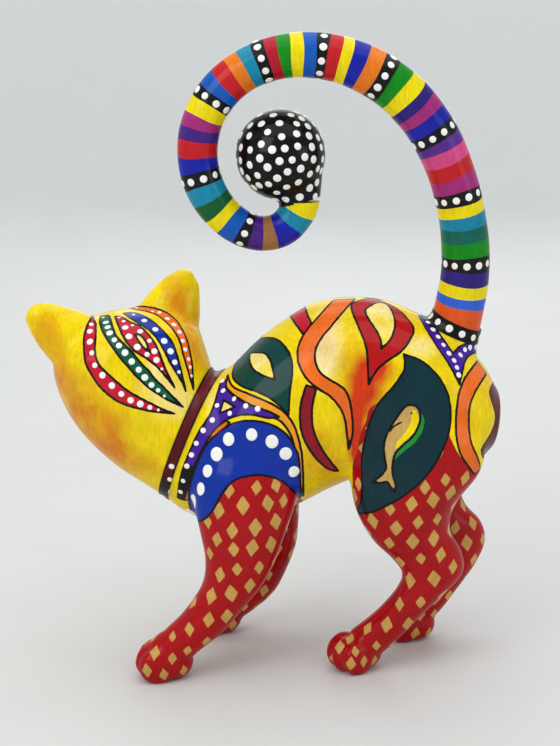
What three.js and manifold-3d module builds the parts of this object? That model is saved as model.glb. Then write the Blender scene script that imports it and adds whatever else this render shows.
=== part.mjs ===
// Painted papier-mache cat with a curled tail, standing on four paws.
// Millimetres, +Z up. The cat looks along -X, and its left side is towards -Y.
// The origin is on the ground, under the middle of the cat's bounding box.

import * as THREE from 'three';
import { mergeVertices } from 'three/addons/utils/BufferGeometryUtils.js';
import Module from 'manifold-3d';

const wasm = await Module();
wasm.setup();

// ---------------------------------------------------------------- driving dimensions

const WALL = 4.5;                  // thickness of the pasted paper wall
const GAP = 0.3;                   // clearance between two pieces that meet
const WIRE_RADIUS = 1.5;           // galvanised armature wire
const TWINE_RADIUS = 0.9;          // twine that lashes two wires together
const BAND_THICKNESS = 0.9;        // pasted paper band over a joint
const COLLAR_WIDTH = 6.5;
const TAIL_BAND_WIDTH = 8;
const BALL_RADIUS = 25.7;
const PAD_RADII = [13.5, 12.3, 11.5];
const TOE_RADII = [11.5, 6, 11.4];
const TOE_SPREAD = 8.2;

// Hoops are read [front or top x, z, rear or bottom x, z, y of the middle, half depth].
const TRUNK_HOOPS = [
  [-34, 180, -64, 101, 0, 33.5],
  [-29, 184, -57, 94, 0, 36],
  [-14, 199, -40, 89, 0, 41],
  [3, 212.5, -15, 91, 0, 43],
  [22, 223, 8, 98, 0, 44],
  [45, 226, 33, 111, 0, 43.5],
  [66, 223, 60, 121, 0, 43.5],
  [88, 213, 84, 122, 0, 43],
  [107, 200, 102, 122, 0, 40],
  [122, 185, 116, 124, 0, 33],
  [130.5, 170, 126, 134, 0, 22],
];
const HEAD_HOOPS = [
  [-29, 184, -57, 94, 0, 36],
  [-39.5, 178.5, -69.5, 103.5, 0, 34],
  [-42.5, 187.5, -84, 112.5, 2, 36.5],
  [-45.5, 196, -101.5, 124, 5, 39.5],
  [-49.5, 205.5, -120, 141.5, 8, 41],
  [-61.5, 213.5, -131.5, 160, 10, 40.5],
  [-80.5, 216.5, -137, 178.5, 11, 36],
  [-98.5, 215.5, -135, 193.5, 11, 26],
  [-111, 212.5, -129, 201.5, 10, 14],
];
const LEFT_EAR_HOOPS = [
  [-106, 208, -124, 180, -1, 9],
  [-113, 215.5, -136, 187.5, -2, 13],
  [-121.5, 219, -140, 192.5, -3, 12],
  [-130.5, 222, -144, 198.5, -4.5, 9.5],
  [-138.5, 224, -147, 205, -6, 7.5],
  [-144.5, 223, -149.5, 211.5, -7, 5],
];
const RIGHT_EAR_HOOPS = [
  [-88, 203, -54, 190, 17, 9],
  [-88.5, 213.5, -50, 202, 18, 13],
  [-82.5, 221.5, -48.5, 211, 19, 12],
  [-76, 229, -48.5, 221, 20.5, 9.5],
  [-69, 235, -49, 229.5, 22, 7.5],
  [-63, 238, -52.5, 236, 23, 5],
];
const FRONT_LEFT_HOOPS = [
  [-36, 152, -2, 152, -24, 13],
  [-47, 131, 9, 130, -28.5, 17.5],
  [-50.5, 110, 9.5, 111, -31.5, 18.5],
  [-47.5, 92.5, 4.5, 94.5, -34, 17],
  [-44.5, 76.5, -2.5, 75, -35, 15.5],
  [-45.5, 62.5, -10.5, 59, -35.5, 14],
  [-51, 51, -21.5, 45, -35.5, 13],
  [-60, 39, -33, 30.5, -35.5, 12],
  [-69, 30.5, -47, 18.5, -35.5, 11.5],
  [-77.5, 23.6, -58, 8, -35, 11],
];
const FRONT_RIGHT_HOOPS = [
  [-36, 152, 2, 152, 24, 13],
  [-45, 131, 11, 130, 29, 17.5],
  [-43, 110, 13, 111, 32.5, 18.5],
  [-35, 93, 12.5, 95, 35, 17],
  [-28, 77, 12, 77, 36.5, 15.5],
  [-23, 62, 10.5, 60, 37, 14],
  [-23, 48, 5, 44, 37, 13],
  [-30, 36, -3, 28, 37, 12],
  [-39, 29, -14, 17, 37, 11.5],
  [-48.5, 22.8, -26, 8, 37, 11],
];
const HIND_LEFT_HOOPS = [
  [58, 182, 110, 180, -22, 13],
  [47, 153, 119, 152, -25.5, 21],
  [41.5, 127.5, 119, 129.5, -27, 22.5],
  [44.5, 105, 105, 109, -27, 21],
  [54, 86, 101, 92, -26.5, 18],
  [67, 72.5, 108.5, 77, -26, 15],
  [73.5, 62.5, 110, 64, -25.5, 13.5],
  [70.5, 53, 100, 51, -25, 12.5],
  [63.5, 43, 87, 37, -24, 11.5],
  [54, 33, 74, 22, -23, 11.5],
  [43.5, 24, 62, 9.5, -21.5, 11],
];
const HIND_RIGHT_HOOPS = [
  [62, 182, 112, 180, 22, 13],
  [52, 153, 121, 152, 25.5, 21],
  [50, 128, 123, 130, 27, 22.5],
  [56, 106, 113, 108, 27, 21],
  [70, 88, 116.5, 90, 27, 18],
  [84, 75, 127, 78, 26.5, 15],
  [91, 64, 130, 65, 26.5, 13.5],
  [92, 53, 124, 50, 26, 12.5],
  [88, 42, 113.5, 34, 26, 11.5],
  [82, 33, 103, 19, 26, 11.5],
  [72.5, 23.5, 93, 8.5, 26, 11],
];

// The tail, from inside the rump to inside the ball: [x, y, z, radius].
const TAIL_STATIONS = [
  [101, 0, 197, 15.2],
  [104.2, -0.5, 210, 15],
  [106.8, -1.7, 223.6, 14.5],
  [108.7, -3.6, 238.9, 14.3],
  [108.5, -5.6, 255, 14],
  [106.4, -7.6, 271.4, 13.7],
  [102.6, -9.6, 287.8, 13.5],
  [97.2, -11.4, 303.7, 13.5],
  [90.1, -13.1, 318.8, 13.6],
  [81.1, -14.7, 332.5, 13.6],
  [70.1, -16, 344.5, 13.6],
  [57, -17, 354.4, 13.5],
  [42.2, -17.9, 361.8, 13.3],
  [26.1, -18.5, 366.1, 12.9],
  [9.5, -18.8, 367.1, 12.5],
  [-6.9, -18.9, 364.2, 12],
  [-21.8, -18.8, 357.4, 11.7],
  [-34.2, -18.5, 346.8, 11.6],
  [-42.9, -18, 333, 11.5],
  [-46.8, -17.4, 317.2, 11.5],
  [-45.5, -16.8, 300.6, 11.4],
  [-38.8, -16.1, 285.1, 11.1],
  [-27.4, -15.4, 272.8, 10.6],
  [-12.8, -14.9, 266.4, 10.2],
  [1.5, -14.5, 269, 10.2],
  [10.5, -14.2, 280, 10.8],
  [10.5, -14, 291, 13.4],
  [7.2, -14, 302, 18],
  [3.6, -14, 309, 20.5],
];
const BALL_CENTRE = new THREE.Vector3(0.3, -14, 311.3);

// ---------------------------------------------------------------- solids and skins

function signedVolume(position, index) {
  const corners = [new THREE.Vector3(), new THREE.Vector3(), new THREE.Vector3()];
  let sum = 0;
  for (let i = 0; i < index.count; i += 3) {
    corners.forEach((corner, k) => corner.fromBufferAttribute(position, index.getX(i + k)));
    sum += corners[0].dot(corners[1].clone().cross(corners[2])) / 6;
  }
  return sum;
}

// Turns a closed three.js geometry into a manifold solid, with its faces pointing out.
function solid(geometry) {
  const bare = geometry.index ? geometry.clone() : geometry;
  bare.deleteAttribute('normal');
  bare.deleteAttribute('uv');
  const merged = mergeVertices(bare, 1e-4);
  const triVerts = Uint32Array.from(merged.index.array);
  if (signedVolume(merged.attributes.position, merged.index) < 0) {
    for (let i = 0; i < triVerts.length; i += 3) {
      [triVerts[i], triVerts[i + 1]] = [triVerts[i + 1], triVerts[i]];
    }
  }
  const vertProperties = Float32Array.from(merged.attributes.position.array);
  return new wasm.Manifold(new wasm.Mesh({ numProp: 3, vertProperties, triVerts }));
}

function geometryOf(body) {
  const mesh = body.getMesh();
  const geometry = new THREE.BufferGeometry();
  geometry.setAttribute('position', new THREE.BufferAttribute(mesh.vertProperties, 3));
  geometry.setIndex(new THREE.BufferAttribute(mesh.triVerts, 1));
  geometry.computeVertexNormals();
  return geometry;
}

function join(solids) {
  return solids.reduce((sum, next) => sum.add(next));
}

function cut(body, cutters) {
  return cutters.reduce((rest, cutter) => rest.subtract(cutter), body);
}

// Turns a row of hoop numbers into a middle and two half axes, made larger by grow.
function hoop([ax, az, bx, bz, y, depth], grow) {
  const a = new THREE.Vector3(ax, y, az);
  const b = new THREE.Vector3(bx, y, bz);
  const long = a.clone().sub(b).multiplyScalar(0.5);
  return {
    middle: a.add(b).multiplyScalar(0.5),
    long: long.setLength(long.length() + grow),
    deep: new THREE.Vector3(0, depth + grow, 0),
  };
}

// Turns the stations of a round tube into hoops that stand square to its run.
function tubeHoops(stations, grow) {
  const run = new THREE.CatmullRomCurve3(stations.map(([x, y, z]) => new THREE.Vector3(x, y, z)));
  return stations.map(([x, y, z, radius], i) => {
    const tangent = run.getTangent(i / (stations.length - 1));
    const long = tangent.clone().cross(new THREE.Vector3(0, 1, 0)).setLength(radius + grow);
    const deep = long.clone().cross(tangent).setLength(radius + grow);
    return { middle: new THREE.Vector3(x, y, z), long, deep };
  });
}

// A closed skin stretched over a run of oval hoops, with a dome at each end.
function skin(hoops, { sides = 14, rings = 20, domeRings = 3, domes = [6, 6] } = {}) {
  const middles = new THREE.CatmullRomCurve3(hoops.map((h) => h.middle), false, 'catmullrom', 0.5);
  const longs = new THREE.CatmullRomCurve3(hoops.map((h) => h.long), false, 'catmullrom', 0.5);
  const deeps = new THREE.CatmullRomCurve3(hoops.map((h) => h.deep), false, 'catmullrom', 0.5);
  const geometry = new THREE.SphereGeometry(1, sides, rings);
  const position = geometry.attributes.position;
  const point = new THREE.Vector3();
  for (let i = 0; i < position.count; i += 1) {
    point.fromBufferAttribute(position, i);
    const ring = Math.round(Math.acos(THREE.MathUtils.clamp(point.y, -1, 1)) / Math.PI * rings);
    const turn = Math.atan2(point.z, point.x);
    const fromEnd = Math.min(ring, rings - ring);
    const t = THREE.MathUtils.clamp((ring - domeRings) / (rings - 2 * domeRings), 0, 1);
    const domeAngle = Math.min(fromEnd / domeRings, 1) * Math.PI / 2;
    const atStart = ring < rings / 2;
    const overhang = Math.cos(domeAngle) * (atStart ? -domes[0] : domes[1]);
    const spread = Math.max(Math.sin(domeAngle), 0);
    const place = middles.getPoint(t)
      .addScaledVector(middles.getTangent(t), overhang)
      .addScaledVector(longs.getPoint(t), Math.cos(turn) * spread)
      .addScaledVector(deeps.getPoint(t), Math.sin(turn) * spread);
    position.setXYZ(i, place.x, place.y, place.z);
  }
  return solid(geometry);
}

function hoopSkin(rows, grow, options) {
  return skin(rows.map((row) => hoop(row, grow)), options);
}

function ellipsoid(centre, radii, { sides = 12, rings = 8, turn = 0 } = {}) {
  const geometry = new THREE.SphereGeometry(1, sides, rings);
  geometry.rotateX(Math.PI / 2);
  geometry.scale(radii[0], radii[1], radii[2]);
  geometry.rotateZ(turn);
  geometry.translate(centre.x, centre.y, centre.z);
  return solid(geometry);
}

// A large flat-sided block whose -X face lies on the plane through point, square to normal.
function halfSpace(point, normal, thickness = 400) {
  const geometry = new THREE.BoxGeometry(thickness, 400, 400);
  geometry.translate(thickness / 2, 0, 0);
  const along = new THREE.Quaternion().setFromUnitVectors(new THREE.Vector3(1, 0, 0), normal);
  geometry.applyQuaternion(along);
  geometry.translate(point.x, point.y, point.z);
  return solid(geometry);
}

// A bent wire through the given points, swept as an extrusion along the curve.
function wire(points, radius, steps, sides = 5) {
  const outline = new THREE.Shape();
  for (let i = 0; i < sides; i += 1) {
    const angle = i / sides * 2 * Math.PI;
    const [x, y] = [radius * Math.cos(angle), radius * Math.sin(angle)];
    if (i === 0) outline.moveTo(x, y);
    else outline.lineTo(x, y);
  }
  outline.closePath();
  const extrudePath = new THREE.CatmullRomCurve3(points);
  return solid(new THREE.ExtrudeGeometry(outline, { steps, bevelEnabled: false, extrudePath }));
}

const vec = (x, y, z) => new THREE.Vector3(x, y, z);

// ---------------------------------------------------------------- joints between pieces

const COLLAR_POINT = vec(-54.5, 0, 141);
const COLLAR_NORMAL = vec(-75, 13, 30).normalize();     // towards the head
const TAIL_JOINT_POINT = vec(103.9, -0.3, 209.5);
const TAIL_JOINT_NORMAL = vec(0.4, -0.08, 0.91).normalize();
const BALL_JOINT_POINT = vec(10.5, -14, 284.5);
const BALL_JOINT_NORMAL = vec(-0.26, 0, 1).normalize();
const GROUND = vec(0, 0, 0);
const DOWN = vec(0, 0, -1);

// The arched region of a leg below its shoulder or hip, as a thick slab on the cat's side.
function archedZone({ middle, spring, radius, footLeft, footRight, footHeight }, side, grow) {
  const outline = new THREE.Shape();
  outline.moveTo(footLeft, -10);
  outline.lineTo(footLeft, footHeight + grow);
  outline.lineTo(middle - radius - grow, spring - 6 + grow);
  outline.absarc(middle, spring, radius + grow, Math.PI, 0, true);
  outline.lineTo(footRight, footHeight + grow);
  outline.lineTo(footRight, -10);
  outline.closePath();
  const drawn = { depth: 70, bevelEnabled: false, curveSegments: 10 };
  const geometry = new THREE.ExtrudeGeometry(outline, drawn);
  geometry.rotateX(Math.PI / 2);
  geometry.translate(0, side < 0 ? 0 : 70, 0);
  return solid(geometry);
}

const FRONT_ARCH = {
  middle: -16, spring: 100.5, radius: 28, footLeft: -80, footRight: 40, footHeight: 95,
};
const HIND_ARCH = {
  middle: 81, spring: 102, radius: 36, footLeft: 20, footRight: 150, footHeight: 99,
};

// ---------------------------------------------------------------- armature wires

const spineHeight = (x) => 153 + 0.2 * x;
const WIRE_PITCH = 2 * WIRE_RADIUS + GAP;               // between two wires lashed side by side
const onSpine = (x, lift) => vec(x, 0, spineHeight(x) + lift);

const SPINE_POINTS = [
  vec(-88, 8, 180), vec(-72, 4, 160), vec(-52, 0, 146),
  onSpine(-30, 0), onSpine(0, 0), onSpine(30, 0), onSpine(60, 0), onSpine(96, 0),
];
const FRONT_WIRE_POINTS = [
  vec(-64, -35, 13), vec(-50, -35.5, 31), vec(-30, -35.5, 56), vec(-22, -35, 80), vec(-22, -32, 105),
  vec(-26, -23, 128), vec(-28, -8, 142),
  onSpine(-24, -WIRE_PITCH), onSpine(-18, -WIRE_PITCH), onSpine(-10, -WIRE_PITCH), onSpine(-4, -WIRE_PITCH),
  vec(-1, 8, 147), vec(-6, 23, 130),
  vec(-12, 33, 105), vec(-8, 36, 80), vec(-7, 37, 56), vec(-16, 37, 32), vec(-32, 37, 13),
];
const HIND_WIRE_POINTS = [
  vec(48, -21, 12), vec(64, -23, 28), vec(75, -24, 41), vec(85, -25, 53), vec(91.5, -25.5, 64),
  vec(87.5, -26, 76), vec(78, -26.5, 90), vec(74.5, -26.5, 108), vec(72, -25, 128), vec(68, -10, 150),
  onSpine(72, -WIRE_PITCH), onSpine(78, -WIRE_PITCH), onSpine(86, -WIRE_PITCH), onSpine(92, -WIRE_PITCH),
  vec(95, 10, 154), vec(90, 25, 130), vec(85, 27, 107), vec(93.5, 27, 90), vec(105.5, 26.5, 77),
  vec(111, 26.5, 64.5), vec(108, 26, 52), vec(100.5, 26, 38), vec(92.5, 26, 26), vec(82, 26, 13),
];
const TAIL_WIRE_POINTS = [
  onSpine(38, WIRE_PITCH), onSpine(46, WIRE_PITCH), onSpine(54, WIRE_PITCH), onSpine(64, WIRE_PITCH + 0.5),
  vec(84, 0, 178),
  ...TAIL_STATIONS.slice(0, -2).map(([x, y, z]) => vec(x, y, z)),
  vec(4, -14, 302),
];

const spineWire = (grow) => wire(SPINE_POINTS, WIRE_RADIUS + grow, 24);
const frontWire = (grow) => wire(FRONT_WIRE_POINTS, WIRE_RADIUS + grow, 42);
const hindWire = (grow) => wire(HIND_WIRE_POINTS, WIRE_RADIUS + grow, 50);
const tailWire = (grow) => wire(TAIL_WIRE_POINTS, WIRE_RADIUS + grow, 70);

// Twine wound round two wires that lie one above the other, between two x positions.
function lashing(fromX, toX, lift) {
  const turns = Math.floor((toX - fromX) / (2 * TWINE_RADIUS + GAP));
  const stepsPerTurn = 8;
  const wideAxis = WIRE_RADIUS + GAP + TWINE_RADIUS + 0.25;
  const tallAxis = wideAxis + WIRE_PITCH / 2;
  const points = [];
  for (let i = 0; i <= turns * stepsPerTurn; i += 1) {
    const angle = i / stepsPerTurn * 2 * Math.PI;
    const x = fromX + (toX - fromX) * i / (turns * stepsPerTurn);
    const z = spineHeight(x) + lift / 2 + tallAxis * Math.sin(angle);
    points.push(vec(x, wideAxis * Math.cos(angle), z));
  }
  return wire(points, TWINE_RADIUS, turns * stepsPerTurn, 3);
}

// ---------------------------------------------------------------- outer forms

const LEG_SKIN = { sides: 12, rings: 16, domes: [8, 6] };
const TRUNK_RUN = [HEAD_HOOPS[2], HEAD_HOOPS[1], ...TRUNK_HOOPS.slice(1)];
const trunkForm = (grow) => hoopSkin(TRUNK_RUN, grow, { sides: 22, rings: 24, domes: [2, 3] });
const trunkCavity = (grow) => hoopSkin(TRUNK_RUN, grow, { sides: 14, rings: 14, domes: [2, 1] });
const headForm = (grow) => hoopSkin(HEAD_HOOPS, grow, { sides: 20, rings: 20, domes: [6, 4] });
const tailForm = (grow) => skin(tubeHoops(TAIL_STATIONS, grow), { sides: 12, rings: 40, domes: [4, 6] });
const legForm = (rows, grow) => hoopSkin(rows, grow, LEG_SKIN);

const TAIL_ROOT_STATIONS = [
  [88, 0, 176, 27],
  [95, 0, 188, 22],
  [100, 0, 197.5, 17.8],
  [103.2, -0.2, 205, 15.9],
  [105.4, -0.5, 213, 15.2],
];
const tailRootForm = () => skin(tubeHoops(TAIL_ROOT_STATIONS, 0), { sides: 14, rings: 12, domes: [4, 4] });

// Three long toes side by side on a rounded pad; heading is the turn of the paw from -X.
function pawForm(centre, heading) {
  const forward = vec(-Math.cos(heading), -Math.sin(heading), 0);
  const across = vec(-forward.y, forward.x, 0);
  const turn = heading;
  const pad = ellipsoid(centre.clone().addScaledVector(forward, -3), PAD_RADII, { turn });
  const toes = [-1, 0, 1].map((n) => {
    const reach = n === 0 ? 7.5 : 5.5;
    const place = centre.clone().addScaledVector(forward, reach).addScaledVector(across, n * TOE_SPREAD);
    return ellipsoid(place, TOE_RADII, { sides: 8, rings: 6, turn });
  });
  return join([pad, ...toes]);
}

// ---------------------------------------------------------------- legs and paws

function anklePlane(rows) {
  const [above, below] = rows.slice(-3, -1).map((row) => hoop(row, 0).middle);
  return {
    point: above.clone().add(below).multiplyScalar(0.5),
    normal: below.clone().sub(above).normalize(),
  };
}

function legPiece(rows, arch, side, wires) {
  const { point, normal } = anklePlane(rows);
  const ankle = halfSpace(point.clone().addScaledVector(normal, -GAP / 2), normal);
  return cut(legForm(rows, 0).intersect(archedZone(arch, side, 0)), [ankle, wires]);
}

function pawPiece(rows, centre, heading, wires) {
  const { point, normal } = anklePlane(rows);
  const up = normal.clone().negate();
  const ankle = halfSpace(point.clone().addScaledVector(normal, GAP / 2), up);
  return cut(join([legForm(rows, 0), pawForm(centre, heading)]), [ankle, halfSpace(GROUND, DOWN), wires]);
}

// The room that a leg needs in the wall of the trunk.
function legSocket(rows, arch, side) {
  return legForm(rows, GAP).intersect(archedZone(arch, side, GAP));
}

// ---------------------------------------------------------------- trunk, head, ears, tail

const LEGS = [
  {
    name: 'front_left', rows: FRONT_LEFT_HOOPS, arch: FRONT_ARCH, side: -1,
    paw: vec(-68.5, -34.5, 10), heading: 0.12,
  },
  {
    name: 'front_right', rows: FRONT_RIGHT_HOOPS, arch: FRONT_ARCH, side: 1,
    paw: vec(-41, 36.5, 10), heading: 0,
  },
  {
    name: 'hind_left', rows: HIND_LEFT_HOOPS, arch: HIND_ARCH, side: -1,
    paw: vec(47.5, -20.5, 10), heading: 0.62,
  },
  {
    name: 'hind_right', rows: HIND_RIGHT_HOOPS, arch: HIND_ARCH, side: 1,
    paw: vec(83, 26, 10), heading: 0,
  },
];

function trunkPiece() {
  const outside = join([trunkForm(0), tailRootForm(), ...LEGS.map(({ rows }) => legForm(rows, 0))]);
  return cut(outside, [
    trunkCavity(-WALL),
    halfSpace(COLLAR_POINT.clone().addScaledVector(COLLAR_NORMAL, -GAP / 2), COLLAR_NORMAL),
    halfSpace(TAIL_JOINT_POINT.clone().addScaledVector(TAIL_JOINT_NORMAL, -GAP / 2), TAIL_JOINT_NORMAL),
    ...LEGS.map(({ rows, arch, side }) => legSocket(rows, arch, side)),
    tailWire(GAP),
  ]);
}

// Directions of the turned head: towards its right ear, its face and its crown.
const EARWARD = vec(0.895, 0.286, 0.343).normalize();
const FACEWARD = vec(-0.27, 0.93, -0.245).projectOnPlane(EARWARD).normalize();
const CROWNWARD = EARWARD.clone().cross(FACEWARD);
const HEAD_MIDDLE = vec(-88, 8, 174);
const onHead = (e, f, c) => HEAD_MIDDLE.clone()
  .addScaledVector(EARWARD, e).addScaledVector(FACEWARD, f).addScaledVector(CROWNWARD, c);

const HEAD_WALL = 8.5;
const SLEEVE_LENGTH = 9;
const SLEEVE_CLEARANCE = 0.6;

function headPiece(earSockets) {
  const trunkSide = COLLAR_NORMAL.clone().negate();
  const shell = headForm(0).subtract(
    halfSpace(COLLAR_POINT.clone().addScaledVector(COLLAR_NORMAL, GAP / 2), trunkSide));
  const sleeve = cut(trunkCavity(-WALL - SLEEVE_CLEARANCE), [
    halfSpace(COLLAR_POINT.clone().addScaledVector(trunkSide, SLEEVE_LENGTH), trunkSide),
    halfSpace(COLLAR_POINT.clone().addScaledVector(COLLAR_NORMAL, 4), COLLAR_NORMAL),
  ]);
  const muzzle = ellipsoid(onHead(0, 38, -9), [17, 16, 12.5], { sides: 14, rings: 10 });
  const nose = ellipsoid(onHead(0, 53, -4), [5, 4, 3.5], { sides: 10, rings: 6 });
  const cavity = hoopSkin(HEAD_HOOPS, -HEAD_WALL, { sides: 12, rings: 10, domes: [8, 3] });
  return cut(join([shell, sleeve, muzzle, nose]), [cavity, ...earSockets]);
}

function earForm(rows, grow) {
  return hoopSkin(rows, grow, { sides: 12, rings: 12, domes: [3, 2.5] });
}

function earPiece(rows, hollowCentre, hollowRadii) {
  return earForm(rows, 0).subtract(ellipsoid(hollowCentre, hollowRadii, { sides: 10, rings: 6 }));
}

function tailPiece() {
  return cut(tailForm(0), [
    halfSpace(TAIL_JOINT_POINT.clone().addScaledVector(TAIL_JOINT_NORMAL, GAP / 2),
      TAIL_JOINT_NORMAL.clone().negate(), 60),
    tailEndBlock(-GAP / 2),
    tailWire(GAP),
  ]);
}

// A block that takes in the last part of the tail, inside the ball.
function tailEndBlock(shift) {
  const geometry = new THREE.BoxGeometry(48, 50, 44);
  geometry.translate(2, 0, 22);
  geometry.applyQuaternion(new THREE.Quaternion().setFromUnitVectors(vec(0, 0, 1), BALL_JOINT_NORMAL));
  const corner = BALL_JOINT_POINT.clone().addScaledVector(BALL_JOINT_NORMAL, shift);
  geometry.translate(corner.x, corner.y, corner.z);
  return solid(geometry);
}

function ballPiece() {
  const ball = ellipsoid(BALL_CENTRE, [BALL_RADIUS, BALL_RADIUS, BALL_RADIUS], { sides: 20, rings: 14 });
  const neck = tailForm(0).intersect(tailEndBlock(GAP / 2));
  return cut(join([ball, neck]), [tailWire(GAP)]);
}

// ---------------------------------------------------------------- pasted bands over the joints

function slab(point, normal, width) {
  const geometry = new THREE.BoxGeometry(width, 110, 110);
  geometry.applyQuaternion(new THREE.Quaternion().setFromUnitVectors(vec(1, 0, 0), normal));
  geometry.translate(point.x, point.y, point.z);
  return solid(geometry);
}

function neckBandPiece() {
  const rows = [TRUNK_HOOPS[1], HEAD_HOOPS[1], HEAD_HOOPS[2]];
  const outside = hoopSkin(rows, GAP + BAND_THICKNESS, { sides: 20, rings: 12 });
  return cut(outside.intersect(slab(COLLAR_POINT, COLLAR_NORMAL, COLLAR_WIDTH)),
    [trunkForm(GAP), headForm(GAP)]);
}

function tailBandPiece() {
  const root = (grow) => skin(tubeHoops(TAIL_ROOT_STATIONS, grow), { sides: 14, rings: 12, domes: [4, 4] });
  return join([root(GAP + BAND_THICKNESS), tailForm(GAP + BAND_THICKNESS)])
    .intersect(slab(TAIL_JOINT_POINT, TAIL_JOINT_NORMAL, TAIL_BAND_WIDTH).intersect(
      ellipsoid(TAIL_JOINT_POINT, [30, 30, 30])))
    .subtract(join([root(GAP), tailForm(GAP), trunkForm(GAP)]));
}

// ---------------------------------------------------------------- assembly

const PAINT = { roughness: 0.3, metalness: 0 };
const YELLOW_PAINT = { color: '#efc01c', ...PAINT };
const RED_PAINT = { color: '#b80f1c', ...PAINT };
const BLACK_PAINT = { color: '#141416', ...PAINT };
const MAROON_PAINT = { color: '#5a0f1a', ...PAINT };
const BLUE_PAINT = { color: '#1c56b4', ...PAINT };
const GALVANISED_STEEL = { color: '#9a9da0', roughness: 0.4, metalness: 1 };
const HEMP_TWINE = { color: '#b59a6a', roughness: 0.9, metalness: 0 };

function piece(name, body, finish) {
  const mesh = new THREE.Mesh(geometryOf(body), new THREE.MeshStandardMaterial(finish));
  mesh.name = name;
  return mesh;
}

const cat = new THREE.Group();

const earSockets = [earForm(LEFT_EAR_HOOPS, GAP), earForm(RIGHT_EAR_HOOPS, GAP)];
cat.add(piece('torso_shell', trunkPiece(), YELLOW_PAINT));
cat.add(piece('head_shell', headPiece(earSockets), YELLOW_PAINT));
cat.add(piece('ear_left', earPiece(LEFT_EAR_HOOPS, vec(-136, 8, 204), [11, 11, 9]), YELLOW_PAINT));
cat.add(piece('ear_right', earPiece(RIGHT_EAR_HOOPS, vec(-63, 34, 229), [10, 11, 12]), YELLOW_PAINT));
cat.add(piece('neck_band', neckBandPiece(), MAROON_PAINT));

const legWires = { front: frontWire(GAP), hind: hindWire(GAP) };
for (const { name, rows, arch, side, paw, heading } of LEGS) {
  const wires = name.startsWith('front') ? legWires.front : legWires.hind;
  cat.add(piece(`${name}_leg`, legPiece(rows, arch, side, wires), RED_PAINT));
  cat.add(piece(`${name}_paw`, pawPiece(rows, paw, heading, wires), RED_PAINT));
}

cat.add(piece('tail', tailPiece(), BLUE_PAINT));
cat.add(piece('tail_band', tailBandPiece(), BLACK_PAINT));
cat.add(piece('tail_ball', ballPiece(), BLACK_PAINT));

const armature = new THREE.Group();
armature.add(piece('spine_wire', spineWire(0), GALVANISED_STEEL));
armature.add(piece('front_leg_wire', frontWire(0), GALVANISED_STEEL));
armature.add(piece('hind_leg_wire', hindWire(0), GALVANISED_STEEL));
armature.add(piece('tail_wire', tailWire(0), GALVANISED_STEEL));
armature.add(piece('shoulder_lashing', lashing(-19, -9, -WIRE_PITCH), HEMP_TWINE));
armature.add(piece('hip_lashing', lashing(77, 87, -WIRE_PITCH), HEMP_TWINE));
armature.add(piece('tail_lashing', lashing(43, 53, WIRE_PITCH), HEMP_TWINE));
cat.add(armature);

// The origin goes under the middle of the cat, on the ground.
const box = new THREE.Box3().setFromObject(cat);
const middle = box.getCenter(new THREE.Vector3());
cat.position.set(-middle.x, -middle.y, 0);

export default cat;
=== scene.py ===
"""A painted papier-mache cat with a curled tail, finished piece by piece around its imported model."""

import math

import bmesh
import bpy
import numpy as np
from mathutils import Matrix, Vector
from mathutils.bvhtree import BVHTree
from mathutils.kdtree import KDTree


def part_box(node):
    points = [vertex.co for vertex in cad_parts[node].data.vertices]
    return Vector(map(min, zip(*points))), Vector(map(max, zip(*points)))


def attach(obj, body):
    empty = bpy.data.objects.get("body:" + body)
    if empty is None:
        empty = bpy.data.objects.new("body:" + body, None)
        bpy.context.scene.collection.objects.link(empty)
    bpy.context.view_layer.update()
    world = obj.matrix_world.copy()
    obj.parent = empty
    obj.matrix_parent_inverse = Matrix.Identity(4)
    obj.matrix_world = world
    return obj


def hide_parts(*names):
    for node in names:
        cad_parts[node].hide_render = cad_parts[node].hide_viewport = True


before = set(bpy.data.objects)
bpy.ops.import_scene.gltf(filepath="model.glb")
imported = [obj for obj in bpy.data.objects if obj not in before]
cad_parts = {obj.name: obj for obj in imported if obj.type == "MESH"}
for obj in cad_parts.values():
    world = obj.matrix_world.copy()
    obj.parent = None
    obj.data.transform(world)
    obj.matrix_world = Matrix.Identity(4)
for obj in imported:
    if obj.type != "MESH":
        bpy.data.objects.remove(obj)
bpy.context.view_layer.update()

bl_info = {
    "name": "Painted Cat Figure",
    "version": (1, 0, 0),
    "blender": (4, 5, 0),
    "location": "View3D > Sidebar > Painted Cat",
    "description": "Builds the skin, painted motifs, dots and stage of a papier-mache cat",
    "category": "Object",
}

MM = 0.001

# ---------------------------------------------------------------- the figure's own stations, in millimetres

# Hoops are [front or top x, z, rear or bottom x, z, y of the middle, half depth].
TRUNK_HOOPS = [
    [-34, 180, -64, 101, 0, 33.5], [-29, 184, -57, 94, 0, 36], [-14, 199, -40, 89, 0, 41],
    [3, 212.5, -15, 91, 0, 43], [22, 223, 8, 98, 0, 44], [45, 226, 33, 111, 0, 43.5],
    [66, 223, 60, 121, 0, 43.5], [88, 213, 84, 122, 0, 43], [107, 200, 102, 122, 0, 40],
    [122, 185, 116, 124, 0, 33], [130.5, 170, 126, 134, 0, 22],
]
HEAD_HOOPS = [
    [-29, 184, -57, 94, 0, 36], [-39.5, 178.5, -69.5, 103.5, 0, 34],
    [-42.5, 187.5, -84, 112.5, 2, 36.5], [-45.5, 196, -101.5, 124, 5, 39.5],
    [-49.5, 205.5, -120, 141.5, 8, 41], [-61.5, 213.5, -131.5, 160, 10, 40.5],
    [-80.5, 216.5, -137, 178.5, 11, 36], [-98.5, 215.5, -135, 193.5, 11, 26],
    [-111, 212.5, -129, 201.5, 10, 14],
]
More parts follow.
